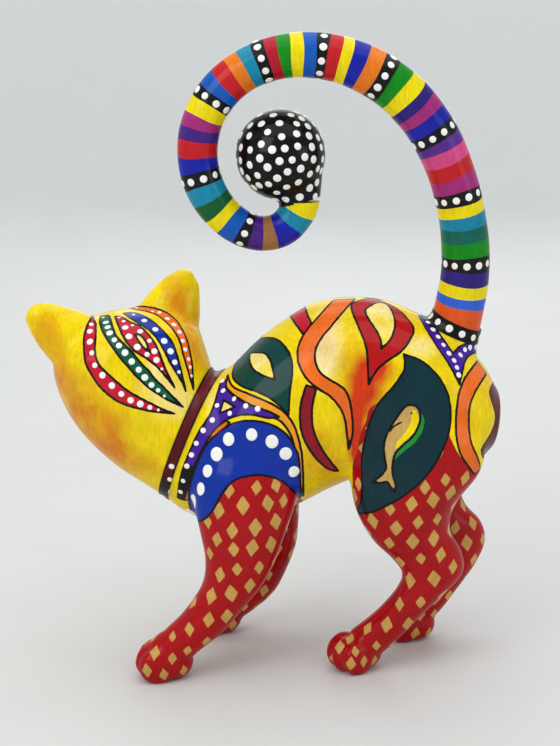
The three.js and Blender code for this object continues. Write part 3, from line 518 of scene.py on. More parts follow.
def loft(hoops, domes, sides=64, rings=56, dome_rings=9):
    """A closed skin over a run of oval hoops, with a dome at each end: its points and faces."""
    middles, longs, deeps = hoops
    lift = np.linspace(0, math.pi / 2, dome_rings + 1)[1:-1]
    angle = np.concatenate([lift, np.full(rings, math.pi / 2), lift[::-1]])
    t = np.concatenate([np.zeros(len(lift)), np.linspace(0, 1, rings), np.ones(len(lift))])
    reach = np.where(np.arange(len(t)) < len(t) / 2, -domes[0], domes[1]) * np.cos(angle)
    step = 1e-3
    run = spline(middles, np.minimum(t + step, 1)) - spline(middles, np.maximum(t - step, 0))
    run /= np.linalg.norm(run, axis=1, keepdims=True)
    centre = spline(middles, t) + run * reach[:, None]
    long, deep = spline(longs, t) * np.sin(angle)[:, None], spline(deeps, t) * np.sin(angle)[:, None]
    turn = np.arange(sides) / sides * 2 * math.pi
    points = (centre[:, None] + long[:, None] * np.cos(turn)[None, :, None]
              + deep[:, None] * np.sin(turn)[None, :, None]).reshape(-1, 3)
    tips = [middles[0] - run[0] * domes[0], middles[-1] + run[-1] * domes[1]]
    return np.vstack([points, tips]), grid_faces(len(t), sides)


def hoop_loft(rows, grow, domes):
    return loft(hoops_of(rows, grow), domes)


def ellipsoid(centre, radii, turn=0.0, sides=40, rings=24):
    up = np.linspace(0, math.pi, rings + 2)[1:-1]
    round_ = np.arange(sides) / sides * 2 * math.pi
    points = np.stack([
        np.outer(np.sin(up), np.cos(round_)), np.outer(np.sin(up), np.sin(round_)),
        np.outer(np.cos(up), np.ones(sides))], -1).reshape(-1, 3)
    points = np.vstack([points, [0, 0, 1], [0, 0, -1]]) * radii
    turned = np.array([[math.cos(turn), math.sin(turn), 0], [-math.sin(turn), math.cos(turn), 0], [0, 0, 1]])
    return points @ turned + centre, grid_faces(rings, sides)


PAD_RADII, TOE_RADII, TOE_SPREAD = (13.5, 12.3, 11.5), (11.5, 6, 11.4), 8.2
PAD_SETBACK, MIDDLE_TOE_REACH, SIDE_TOE_REACH = 3, 7.5, 5.5


def paw(centre, heading):
    """A rounded pad with three toes side by side."""
    centre = np.array(centre, float)
    forward = np.array([-math.cos(heading), -math.sin(heading), 0])
    across = np.array([-forward[1], forward[0], 0])
    parts = [ellipsoid(centre - PAD_SETBACK * forward, PAD_RADII, heading)]
    for n in (-1, 0, 1):
        reach = MIDDLE_TOE_REACH if n == 0 else SIDE_TOE_REACH
        parts.append(ellipsoid(centre + forward * reach + across * n * TOE_SPREAD, TOE_RADII, heading))
    return parts


def new_object(name, points, faces):
    """An object from points in the stations' frame, with its faces turned outwards."""
    mesh = bpy.data.meshes.new(name)
    mesh.from_pydata(((np.asarray(points) + PLACE) * MM).tolist(), [], faces)
    obj = bpy.data.objects.new(name, mesh)
    bpy.context.scene.collection.objects.link(obj)
    shape = bmesh.new()
    shape.from_mesh(mesh)
    bmesh.ops.recalc_face_normals(shape, faces=shape.faces)
    shape.to_mesh(mesh)
    shape.free()
    return obj


def merged(name, parts):
    points, faces, first = [], [], 0
    for part_points, part_faces in parts:
        points.append(part_points)
        faces += [tuple(i + first for i in face) for face in part_faces]
        first += len(part_points)
    return new_object(name, np.vstack(points), faces)


def apply_modifiers(obj):
    graph = bpy.context.evaluated_depsgraph_get()
    mesh = bpy.data.meshes.new_from_object(obj.evaluated_get(graph))
    obj.modifiers.clear()
    old, obj.data = obj.data, mesh
    bpy.data.meshes.remove(old)


def combine(obj, other, operation):
    """Cuts, joins or keeps the common part of two closed solids, and drops the second one."""
    change = obj.modifiers.new("cut", "BOOLEAN")
    change.operation, change.object, change.solver = operation, other, "MANIFOLD"
    apply_modifiers(obj)
    bpy.data.objects.remove(other)
    if not obj.data.polygons:
        raise RuntimeError(f"{obj.name}: nothing is left after {operation}")


def copy_of(obj, name):
    twin = bpy.data.objects.new(name, obj.data.copy())
    bpy.context.scene.collection.objects.link(twin)
    return twin


def half_space(point, normal, size=600.0):
    """A large block whose face lies on the plane, on the side that the normal points to."""
    normal = unit(normal)
    side = unit(np.cross(normal, [0.0, 1.0, 0.3]))
    up = np.cross(normal, side)
    points = [np.asarray(point) + normal * n * size + side * a * size + up * b * size
              for n in (0, 1) for a, b in ((-1, -1), (1, -1), (1, 1), (-1, 1))]
    faces = [(0, 1, 2, 3), (4, 5, 6, 7), (0, 1, 5, 4), (1, 2, 6, 5), (2, 3, 7, 6), (3, 0, 4, 7)]
    return new_object("half_space", points, faces)


def slab(point, normal, width, size=70.0):
    block = half_space(np.asarray(point) - unit(normal) * width / 2, normal, size)
    combine(block, half_space(np.asarray(point) + unit(normal) * width / 2, normal, size * 2), "DIFFERENCE")
    return block


def prism(outline, low, high):
    """An upright outline in x and z, drawn out between two places along y."""
    points = [(x, y, z) for y in (low, high) for x, z in outline]
    n = len(outline)
    faces = [tuple(range(n)), tuple(range(n, 2 * n))]
    faces += [(i, (i + 1) % n, (i + 1) % n + n, i + n) for i in range(n)]
    return new_object("prism", points, faces)


LEG_ZONE_DEPTH, PAW_ZONE_DEPTH = 70.0, 80.0     # how far the cutting blocks reach to each side
PAW_ZONE_TOP = 60


def arch_zone(arch, side):
    middle, spring, radius, left, right, height = arch
    bend = [math.pi * (1 - k / 24) for k in range(25)]
    outline = [(left, -10), (left, height), (middle - radius, spring - 6)]
    outline += [(middle + radius * math.cos(a), spring + radius * math.sin(a)) for a in bend]
    outline += [(right, height), (right, -10)]
    return prism(outline, *sorted((0.0, side * LEG_ZONE_DEPTH)))


def voxel_skin(obj, cell):
    remesh = obj.modifiers.new("skin", "REMESH")
    remesh.mode, remesh.voxel_size = "VOXEL", cell
    remesh.use_smooth_shade = True
    apply_modifiers(obj)


def coordinates(mesh):
    """Vertex places in the stations' frame, in millimetres."""
    co = np.empty(len(mesh.vertices) * 3, np.float32)
    mesh.vertices.foreach_get("co", co)
    return co.reshape(-1, 3).astype(float) / MM - PLACE


def vertex_normals(mesh):
    normal = np.empty(len(mesh.vertices) * 3, np.float32)
    mesh.vertex_normals.foreach_get("vector", normal)
    return normal.reshape(-1, 3).astype(float)


def relax(mesh, steps, fill_only):
    """Evens the skin out. fill_only lets pulp build up in creases without wearing down the rest."""
    edges = np.empty(len(mesh.edges) * 2, np.int32)
    mesh.edges.foreach_get("vertices", edges)
    a, b = edges[::2], edges[1::2]
    count = len(mesh.vertices)
    degree = np.bincount(edges, minlength=count)[:, None]
    co = coordinates(mesh)
    hold = np.clip((co[:, 2:3] - 30) / 12, 0, 1) if fill_only else 1.0
    for _ in range(steps):
        total = np.stack([np.bincount(a, co[b, k], count) + np.bincount(b, co[a, k], count)
                          for k in range(3)], 1)
        move = total / degree - co
        if fill_only:
            normal = vertex_normals(mesh)
            move = normal * np.maximum(np.sum(move * normal, 1, keepdims=True), 0) * hold
        co += move * 0.8
        mesh.vertices.foreach_set("co", ((co + PLACE) * MM).astype(np.float32).ravel())
        mesh.update()


# ---------------------------------------------------------------- where paint goes on the skin


def on_plate(points):
    """Where the line from the eye point through each point meets the upright plate y = 0."""
    share = -EYE[1] / (points[:, 1] - EYE[1])
    return np.stack([EYE[0] + (points[:, 0] - EYE[0]) * share, EYE[2] + (points[:, 2] - EYE[2]) * share], 1)


CHEST_BOTTOM = 95       # height below which the collar's tilt no longer moves a motif


def smooth_step(x, low, high):
    t = np.clip((x - low) / (high - low), 0, 1)
    return t * t * (3 - 2 * t)


def leg_offset(near, far, z):
    """How far the right leg of a pair stands behind its left one at height z."""
    def middles(rows):
        rows = np.asarray(rows, float)[::-1]
        return (rows[:, 1] + rows[:, 3]) / 2, (rows[:, 0] + rows[:, 2]) / 2
    shift = np.interp(z, *middles(far)) - np.interp(z, *middles(near))
    return shift * (1 - smooth_step(z, 150, 178))


def collar_slant(x, y):
    """How far the collar's tilt moves the right side's chest motifs forward."""
    return -2 * COLLAR_NORMAL[1] / COLLAR_NORMAL[0] * np.abs(y) * (1 - smooth_step(x, -40, 5))


def flank_places(points):
    """Plate places of the trunk and legs. The right side carries the left side's motifs."""
    x, y, z = points.T
    rear = smooth_step(x, 20, 45)
    shift = ((1 - rear) * leg_offset(FRONT_LEFT_HOOPS, FRONT_RIGHT_HOOPS, z)
             + rear * leg_offset(HIND_LEFT_HOOPS, HIND_RIGHT_HOOPS, z))
    slant = collar_slant(x, y) * (z > CHEST_BOTTOM)
    moved = np.where(y > 0, x - shift - slant, x)
    return on_plate(np.stack([moved, -np.abs(y), z], 1))


def face_places(points):
    offset = points - HEAD_MIDDLE
    return np.stack([offset @ EARWARD, offset @ CROWNWARD], 1)


def rounded(outline, steps=3):
    """A closed outline with its bends smoothed and its sharp tips kept."""
    points = np.asarray(outline, float)
    before, after = np.roll(points, 1, 0), np.roll(points, -1, 0)
    slope = (after - before) / 2
    arriving, leaving = points - before, after - points
    size = np.linalg.norm(arriving, axis=1) * np.linalg.norm(leaving, axis=1) + 1e-9
    tip = np.sum(arriving * leaving, 1) / size < 0.45
    short = np.minimum(np.linalg.norm(arriving, axis=1), np.linalg.norm(leaving, axis=1))
    slope *= np.minimum(1, 1.4 * short / (np.linalg.norm(slope, axis=1) + 1e-9))[:, None]
    slope[tip] = 0
    following, next_slope = np.roll(points, -1, 0), np.roll(slope, -1, 0)
    out = []
    for w in np.arange(steps) / steps:
        out.append(points + slope * w + (3 * following - 3 * points - 2 * slope - next_slope) * w ** 2
                   + (2 * points - 2 * following + slope + next_slope) * w ** 3)
    return np.stack(out, 1).reshape(-1, 2)


FAR = 6.0        # distance kept for skin that is nowhere near a motif, in millimetres


def signed_distance(places, outline):
    """Distance to an outline, below zero inside it, and the direction to its nearest point."""
    line = rounded(outline)
    distance, towards = np.full(len(places), FAR), np.zeros((len(places), 2))
    near = np.all((places > line.min(0) - FAR) & (places < line.max(0) + FAR), 1)
    p = places[near]
    if not len(p):
        return distance, towards
    best, direction, inside = np.full(len(p), 1e9), np.zeros((len(p), 2)), np.zeros(len(p), bool)
    for a, b in zip(line, np.roll(line, -1, 0)):
        edge = b - a
        t = np.clip((p - a) @ edge / max(edge @ edge, 1e-12), 0, 1)
        gap = p - a - t[:, None] * edge
        length = np.hypot(gap[:, 0], gap[:, 1])
        closer = length < best
        best[closer], direction[closer] = length[closer], gap[closer]
        if a[1] != b[1]:
            crosses = (a[1] > p[:, 1]) != (b[1] > p[:, 1])
            inside ^= crosses & (p[:, 0] < (b[0] - a[0]) * (p[:, 1] - a[1]) / (b[1] - a[1]) + a[0])
    distance[near] = np.minimum(np.where(inside, -best, best), FAR)
    towards[near] = direction / np.maximum(best, 1e-9)[:, None]
    return distance, towards


class Surface:
    """Skin points with what is needed to measure distances along them."""

    def __init__(self, points, normals):
        self.points = points
        helper = np.where(np.abs(normals[:, 2:3]) < 0.8, [[0.0, 0, 1]], [[1.0, 0, 0]])
        self.along = np.cross(helper, normals)
        self.along /= np.maximum(np.linalg.norm(self.along, axis=1, keepdims=True), 1e-9)
        self.across = np.cross(normals, self.along)
        out = points - COLLAR_POINT
        self.is_head = out @ unit(COLLAR_NORMAL) > 0
        depth = (points - HEAD_MIDDLE) @ FACEWARD
        self.views = {
            "flank": (flank_places, ~self.is_head),
            "crown": (on_plate, self.is_head & (depth < 8)),
            "face": (face_places, self.is_head & (depth > 8)),
            "left_face": (lambda p: face_places(p) * [-1, 1], self.is_head & (depth > 8)),
        }
        self.measured = {name: self.measure(view) for name, (view, _) in self.views.items()}

    def measure(self, view):
        here, step = view(self.points), 0.2
        return (here, (view(self.points + self.along * step) - here) / step,
                (view(self.points + self.across * step) - here) / step)

    def distance(self, name, outline):
        """Distance along the skin to an outline, below zero inside it."""
        here, along, across = self.measured[name]
        flat, towards = signed_distance(here, outline)
        rate = np.hypot(np.sum(along * towards, 1), np.sum(across * towards, 1))
        real = np.where(flat < FAR, flat / np.maximum(rate, 0.3), FAR)
        return np.where(self.views[name][1], np.clip(real, -FAR, FAR), FAR)


# Each paint layer, from the first brushed on to the last: its colour, whether it has a black outline,
# and its motifs by the side that they are drawn on.
LAYERS = [
    ("leg_red", False, {"flank": [FRONT_LEG_RED, HIND_LEG_RED]}),
    ("gold", False, {}),
    ("orange", True, {
        "flank": [RUMP_RIBBON_ORANGE, CHEST_SLIVER], "crown": [HEAD_STRIPE_ORANGE],
        "face": [CHEEK_LEAF], "left_face": [CHEEK_LEAF]}),
    ("sweep", True, {"flank": [SHOULDER_SWEEP]}),
    ("dark_crimson", True, {"flank": [BELLY_RIBBON_CRIMSON]}),
    ("crimson", True, {
        "flank": [BACK_PATCH_CRIMSON], "crown": [HEAD_STRIPE_CRIMSON, HEAD_PETAL_RED], "face": [BROW_LEAF]}),
    ("flank_orange", True, {"flank": [FLANK_RIBBON_ORANGE]}),
    ("red", True, {"flank": [BACK_TEARDROP_RED]}),
    ("teal", True, {"flank": [THIGH_LEAF_TEAL]}),
    ("green", True, {
        "flank": [SHOULDER_TEARDROP_GREEN], "crown": [HEAD_STRIPE_GREEN],
        "face": [FACE_RIBBON], "left_face": [FACE_RIBBON]}),
    ("blue", True, {"flank": [CHEST_PATCH_BLUE], "crown": [HEAD_STRIPE_BLUE]}),
    ("purple", True, {"flank": [CHEST_RIBBON_PURPLE, TAIL_ROOT_PURPLE]}),
    ("maroon", True, {"flank": [RUMP_PATCH_MAROON]}),
    ("pale", True, {
        "flank": [CHEST_TRIANGLE, SHOULDER_TEARDROP_EYE, BACK_TEARDROP_EYE], "crown": [HEAD_PETAL_EYE],
        "face": [EYE_OUTLINE], "left_face": [EYE_OUTLINE]}),
    ("leaf_green", False, {"flank": [THIGH_FISH_GLOW], "face": [EYE_IRIS], "left_face": [EYE_IRIS]}),
    ("fish_gold", True, {"flank": [THIGH_FISH_GOLD]}),
    ("fish_yellow", False, {"flank": [THIGH_FISH_BELLY]}),
    ("black", False, {
        "flank": [CHEST_RIBBON_BLACK, FISH_EYE, FISH_FIN], "face": [NOSE, MOUTH, EYE_PUPIL],
        "left_face": [EYE_PUPIL]}),
]

# Soft washes: [x, height, half width, half height, strength] on the plate.
HEAD_WARMTH = [
    (-139, 205, 9, 14, 0.7), (-133, 178, 12, 14, 0.8), (-121, 152, 13, 15, 0.85), (-104, 132, 16, 13, 0.9),
    (-86, 121, 15, 9, 0.55), (-112, 170, 12, 14, 0.35), (-61, 225, 10, 14, 0.8), (-54, 205, 8, 14, 0.6),
    (-48, 188, 7, 12, 0.5), (-100, 150, 10, 10, 0.6),
]
FLANK_WARMTH = [
    (52, 172, 16, 22, 1.0), (28, 205, 12, 20, 0.35), (113, 150, 9, 20, 0.45), (24, 135, 14, 18, 0.4),
    (-8, 175, 20, 20, 0.25), (30, 120, 20, 12, 0.35), (125, 178, 8, 18, 0.4),
]
FLANK_BLUSH = [(52, 174, 9, 15, 1.0), (46, 150, 7, 18, 0.95), (60, 183, 10, 8, 0.6), (47, 132, 5, 12, 0.8)]
# Ivory in the petals, except the spot at x 84, height 196: a painted highlight, pale colour standing in for a
# reflection on the back.
FLANK_CREAM_AND_HIGHLIGHT = [(29, 199, 7, 20, 0.95), (24, 186, 6, 12, 0.8), (84, 196, 9, 6, 0.7), (-40, 158, 4, 14, 0.4)]
CROWN_CREAM = [(-72, 170, 12, 14, 0.45), (-60, 160, 10, 8, 0.4), (-75, 186, 4, 12, 0.5)]


def washes(places, spots):
    total = np.zeros(len(places))
    for x, z, wide, tall, strength in spots:
        total += strength * np.exp(-((places[:, 0] - x) / wide) ** 2 - ((places[:, 1] - z) / tall) ** 2)
    return np.clip(total, 0, 1)


def set_values(mesh, name, values, kind="FLOAT", domain="POINT"):
    layer = mesh.attributes.new(name, kind, domain)
    layer.data.foreach_set("color" if kind == "FLOAT_COLOR" else "value",
                           np.asarray(values, np.float32).ravel())


def brush_motifs(mesh, diamonds):
    """Writes how far each skin point lies from every motif, for the paint to read."""
    points = coordinates(mesh)
    surface = Surface(points, vertex_normals(mesh))
    for name, _, sides in LAYERS:
        distance = np.full(len(points), FAR)
        for side, outlines in sides.items():
            for outline in outlines:
                distance = np.minimum(distance, surface.distance(side, outline))
        if name == "gold":
            distance = diamond_distance(points, diamonds)
        if name == "crimson":
            distance = np.minimum(distance, hollow_distance(points))
        set_values(mesh, name, distance * MM)
    flank, crown = surface.measured["flank"][0], surface.measured["crown"][0]
    # "light" lays ivory in the petals and one painted highlight on the back.
    for name, on_crown, on_flank in (("warmth", HEAD_WARMTH, FLANK_WARMTH), ("flush", [], FLANK_BLUSH),
                                     ("light", CROWN_CREAM, FLANK_CREAM_AND_HIGHLIGHT)):
        wash = np.where(surface.is_head, washes(crown, on_crown), washes(flank, on_flank))
        set_values(mesh, name, wash)


EAR_HOLLOWS = [((-136, 8, 204), (11, 11, 9)), ((-63, 34, 229), (10, 11, 12))]


def hollow_distance(points):
    """Distance to the rims of the two ear hollows, below zero inside them."""
    best = np.full(len(points), FAR)
    for centre, radii in EAR_HOLLOWS:
        reach = np.linalg.norm((points - centre) / radii, axis=1)
        best = np.minimum(best, (reach - 1.04) * 9)
    return np.clip(best, -FAR, FAR)


def diamond_distance(points, diamonds):
    """Distance to the nearest gold diamond; each one is [place, across, up, half width, half height]."""
    best = np.full(len(points), FAR)
    for place, across, up, wide, tall in diamonds:
        offset = points - place
        near = np.einsum("ij,ij->i", offset, offset) < 81
        part = offset[near]
        reach = np.abs(part @ across) / wide + np.abs(part @ up) / tall - 1
        best[near] = np.minimum(best[near], reach * wide * tall / math.hypot(wide, tall))
    return best


# ---------------------------------------------------------------- the joined skin and its pieces


def ankle_plane(rows):
    middles = hoops_of(rows)[0]
    above, below = middles[-3], middles[-2]
    return (above + below) / 2, below - above


def joined_skin(sizes):
    """Trunk, head, ears, legs and paws as one closed skin, with its creases filled like pasted pulp."""
    parts = [
        hoop_loft([HEAD_HOOPS[2], HEAD_HOOPS[1]] + TRUNK_HOOPS[1:], 0, (2, 3)),
        hoop_loft(HEAD_HOOPS, 0, (6, 4)),
        hoop_loft(LEFT_EAR_HOOPS, 0, (3, 2.5)), hoop_loft(RIGHT_EAR_HOOPS, 0, (3, 2.5)),
        loft(tube_hoops(TAIL_ROOT_STATIONS), (4, 4)), loft(tube_hoops(TAIL_STATIONS[:5]), (4, 4)),
        ellipsoid(on_head(0, 38, -9), (17, 16, 12.5)), ellipsoid(on_head(0, 53, -4), (5, 4, 3.5)),
    ]
    for _, rows, _, _, middle, heading in LEGS:
        parts.append(hoop_loft(rows, 0, (8, 6)))
        parts += paw(middle, heading)
    skin = merged("skin", parts)
    voxel_skin(skin, sizes.skin_cell)
    combine(skin, half_space((0, 0, 0), (0, 0, -1)), "DIFFERENCE")
    for centre, radii in EAR_HOLLOWS:
        hollow = ellipsoid(np.zeros(3), radii)
        combine(skin, new_object("hollow", hollow[0] + centre, hollow[1]), "DIFFERENCE")
    voxel_skin(skin, sizes.skin_cell)
    relax(skin.data, sizes.fillet_steps, True)
    relax(skin.data, 5, False)
    return skin


def leg_zone(rows, arch, side):
    points, faces = hoop_loft(rows, 2.5, (10, 8))
    zone = new_object("zone", points, faces)
    combine(zone, arch_zone(arch, side), "INTERSECT")
    return zone


def paw_zone(rows, arch, side):
    left, right = (-110, 15) if arch is FRONT_ARCH else (15, 150)
    outline = [(left, -10), (right, -10), (right, PAW_ZONE_TOP), (left, PAW_ZONE_TOP)]
    block = prism(outline, *sorted((0.0, side * PAW_ZONE_DEPTH)))
    combine(block, half_space(*ankle_plane(rows)), "INTERSECT")
    return block


def skin_pieces(skin):
    """The joined skin cut at the collar, ears, arches, ankles and tail: name, object, CAD node and slot."""
    pieces = []
    torso = copy_of(skin, "painted_torso")
    combine(torso, half_space(COLLAR_POINT, COLLAR_NORMAL), "DIFFERENCE")
    combine(torso, half_space(TAIL_JOINT_POINT, TAIL_JOINT_NORMAL, 60), "DIFFERENCE")
    head = copy_of(skin, "painted_head")
    combine(head, half_space(COLLAR_POINT, COLLAR_NORMAL), "INTERSECT")
    for name, rows in (("left", LEFT_EAR_HOOPS), ("right", RIGHT_EAR_HOOPS)):
        middles = hoops_of(rows)[0]
        root, way = middles[1] * 0.6 + middles[0] * 0.4, middles[2] - middles[0]
        ear = copy_of(head, f"painted_ear_{name}")
        combine(ear, half_space(root, way, 80), "INTERSECT")
        combine(head, half_space(root, way, 80), "DIFFERENCE")
        pieces.append((ear, f"ear_{name}", "body_paint"))
    for name, rows, arch, side, _, _ in LEGS:
        combine(torso, leg_zone(rows, arch, side), "DIFFERENCE")
        combine(torso, paw_zone(rows, arch, side), "DIFFERENCE")
        leg = copy_of(skin, f"painted_{name}_leg")
        combine(leg, leg_zone(rows, arch, side), "INTERSECT")
        combine(leg, paw_zone(rows, arch, side), "DIFFERENCE")
        foot = copy_of(skin, f"painted_{name}_paw")
        combine(foot, paw_zone(rows, arch, side), "INTERSECT")
        pieces += [(leg, f"{name}_leg", "leg_paint"), (foot, f"{name}_paw", "leg_paint")]
    return [(torso, "torso_shell", "body_paint"), (head, "head_shell", "body_paint")] + pieces


def keep_skin_normals(mesh, skin_normals, tree):
    """Shades a piece as part of the whole skin, so that no cut shows where two pieces meet."""
    count = len(mesh.vertices)
    co = np.empty(count * 3, np.float32)
    mesh.vertices.foreach_get("co", co)
    smooth = np.empty((count, 3))
    for i, place in enumerate(co.reshape(-1, 3)):
        _, index, _ = tree.find(place)
        smooth[i] = skin_normals[index]
    flat = np.empty(len(mesh.polygons) * 3, np.float32)
    mesh.polygons.foreach_get("normal", flat)
    flat = flat.reshape(-1, 3)
    sizes = np.empty(len(mesh.polygons), np.int32)
    mesh.polygons.foreach_get("loop_total", sizes)
    corner = np.empty(len(mesh.loops), np.int32)
    mesh.loops.foreach_get("vertex_index", corner)
    face_of = np.repeat(np.arange(len(sizes)), sizes)
    agree = np.sum(smooth[corner] * flat[face_of], 1)
    cap = np.bincount(face_of, agree, len(sizes)) / sizes < 0.55
    normals = np.where(cap[face_of][:, None], flat[face_of], smooth[corner])
    mesh.shade_smooth()
    mesh.normals_split_custom_set(normals.tolist())


def finish_piece(obj, nodes, material):
    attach(obj, "root")
    if nodes:
        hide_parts(*nodes)
    obj.data.materials.clear()
    obj.data.materials.append(material)


def mesh_tree(mesh):
    return BVHTree.FromPolygons([v.co for v in mesh.vertices], [p.vertices for p in mesh.polygons])


def leg_diamonds(skin, size):
    """Gold diamonds: the set ones on the left legs, and an even scatter over the rest of the leg skin."""
    points, normals = coordinates(skin), vertex_normals(skin)
    surface = BVHTree.FromPolygons(points.tolist(), [p.vertices for p in skin.polygons])
    found = []

    def add_diamond(place, normal):
        normal = unit(normal)
        across = unit(np.cross(normal, [0.0, 0, 1]) + [1e-6, 0, 0])
        lean = 0.16 * math.sin(2.4 * len(found))
        up = np.cross(across, normal)
        across, up = (across * math.cos(lean) + up * math.sin(lean),
                      up * math.cos(lean) - across * math.sin(lean))
        scale = size / MM / 2 * (1 + 0.14 * math.sin(5.1 * len(found))) * (0.82 if place[2] < 30 else 1)
        found.append((np.asarray(place), across, up, scale * 0.68, scale))

    for x, z in FRONT_DIAMONDS + HIND_DIAMONDS:
        target = np.array([x, 0.0, z])
        hit, normal, _, _ = surface.ray_cast(Vector(EYE), Vector(unit(target - EYE)))
        if hit is not None and hit.z < 130:
            add_diamond(np.array(hit), np.array(normal))
    surface_side = Surface(points, normals)
    red = surface_side.distance("flank", FRONT_LEG_RED)
    red = np.minimum(red, surface_side.distance("flank", HIND_LEG_RED))
    order = np.argsort(-(points[:, 2] // 6) * 1000 + points[:, 0] + 0.5 * np.abs(points[:, 1]))
    candidates = [i for i in order if red[i] < -3.5 and points[i, 2] > 5][::5]
    places = np.array([d[0] for d in found])
    for i in candidates:
        room = 12.6 if points[i, 2] > 32 else 9.4
        if np.min(np.sum((places - points[i]) ** 2, 1)) > room * room:
            add_diamond(points[i], normals[i])
            places = np.vstack([places, points[i]])
    return found


class CAT_OT_skin(bpy.types.Operator):
    """Builds the torso, head, ears, legs and paws from one joined skin"""

    bl_idname = "cat.skin"
    bl_label = "Skin pieces"

    def execute(self, context):
        sizes = context.scene.cat_sizes
        skin = joined_skin(sizes)
        skin.data.name = "joined_skin"
        diamonds = leg_diamonds(skin.data, sizes.diamond)
        material = skin_paint(context.scene.cat_colours)
        skin_points = np.array([v.co for v in skin.data.vertices])
        normals = vertex_normals(skin.data)
        tree = KDTree(len(skin_points))
        for i, place in enumerate(skin_points):
            tree.insert(place, i)
        tree.balance()
        for obj, node, slot in skin_pieces(skin):
            keep_skin_normals(obj.data, normals, tree)
            brush_motifs(obj.data, diamonds)
            finish_piece(obj, [node], material)
        skin.data.use_fake_user = True
        bpy.data.objects.remove(skin)
        return {"FINISHED"}


class CAT_OT_bands(bpy.types.Operator):
    """Builds the pasted collar and the pasted band at the root of the tail"""

    bl_idname = "cat.bands"
    bl_label = "Collar and tail band"

    def execute(self, context):
        colours = context.scene.cat_colours
        skin = bpy.data.meshes["joined_skin"]
        for name, node, point, normal, width, material in (
            ("collar_band", "neck_band", COLLAR_POINT, COLLAR_NORMAL, COLLAR_WIDTH, collar_paint(colours)),
            ("tail_root_band", "tail_band", TAIL_JOINT_POINT, TAIL_JOINT_NORMAL, TAIL_BAND_WIDTH,
             plain_paint("Varnished black acrylic on paper band", colours.black)),
        ):
            band = bpy.data.objects.new(name, skin.copy())
            context.scene.collection.objects.link(band)
            band.data.name = name
            places, normals = coordinates(skin), vertex_normals(skin)
            if node == "tail_band":
                away = np.linalg.norm(places - point, axis=1)
                swell = (0.1 + (BAND_THICKNESS / 2 - 0.1) * (1 - smooth_step(away, 15, 19)))[:, None]
            else:
                swell = BAND_THICKNESS * 0.6
            band.data.vertices.foreach_set(
                "co", ((places + normals * swell + PLACE) * MM).astype(np.float32).ravel())
            combine(band, slab(point, normal, width, 26 if node == "tail_band" else 70), "INTERSECT")
            if node == "tail_band":
                combine(band, new_object("reach", *ellipsoid(point, (21, 21, 21))), "INTERSECT")
            soften_rims(band)
            finish_piece(band, [node], material)
        return {"FINISHED"}


def soften_rims(obj):
    """Rounds the cut edges of a band a little, and shades it smooth except at them."""
    bevel = obj.modifiers.new("rim", "BEVEL")
    bevel.width, bevel.segments, bevel.limit_method, bevel.angle_limit = 0.00035, 2, "ANGLE", math.radians(50)
    bevel.harden_normals = False
    apply_modifiers(obj)
    obj.data.shade_smooth()
    obj.data.set_sharp_from_angle(angle=math.radians(60))


# ---------------------------------------------------------------- tail and ball


FIRST_BAND_POINT = [106.61, -2.0, 222.78]       # where the first painted band of the tail starts
BAND_STEP = 1.7                                 # length of tail between two rings of its skin


def tail_run():
    """Dense middle line of the tail with its radius and its length from the first band edge."""
    stations = np.asarray(TAIL_STATIONS, float)
    t = np.linspace(0, 1, 1400)
    line = spline(stations, t)
    length = np.concatenate([[0], np.cumsum(np.linalg.norm(np.diff(line[:, :3], axis=0), axis=1))])
    first = np.argmin(np.linalg.norm(line[:, :3] - FIRST_BAND_POINT, axis=1))
    return line, length - length[first]


def tail_sections(run, at):
    """Middle, two side directions and radius of the tail at the given lengths."""
    line, length = run
    middle = np.stack([np.interp(at, length, line[:, k]) for k in range(3)], -1)
    ahead = np.stack([np.interp(at + 1.5, length, line[:, k]) for k in range(3)], -1)
    behind = np.stack([np.interp(at - 1.5, length, line[:, k]) for k in range(3)], -1)
    tangent = ahead - behind
    tangent /= np.linalg.norm(tangent, axis=-1, keepdims=True)
    long = np.cross(tangent, [0.0, 1, 0])
    long /= np.linalg.norm(long, axis=-1, keepdims=True)
    return middle, long, np.cross(long, tangent), np.interp(at, length, line[:, 3])


def joint_length(run, point, normal):
    """The length at which the tail's middle line crosses a joint plane."""
    line, length = run
    side = (line[:, :3] - point) @ unit(normal)
    crossing = np.where(np.diff(np.sign(side)) > 0)[0]
    nearest = min(crossing, key=lambda i: np.linalg.norm(line[i, :3] - point))
    return length[nearest]


def band_edges(run):
    """Lengths of all band edges, ends included."""
    start = joint_length(run, TAIL_JOINT_POINT, TAIL_JOINT_NORMAL) - 1.0
    end = joint_length(run, BALL_JOINT_POINT, BALL_JOINT_NORMAL)
    inner = [s for s in TAIL_BAND_STARTS if s < end - 1]
    return [start] + inner + [end]


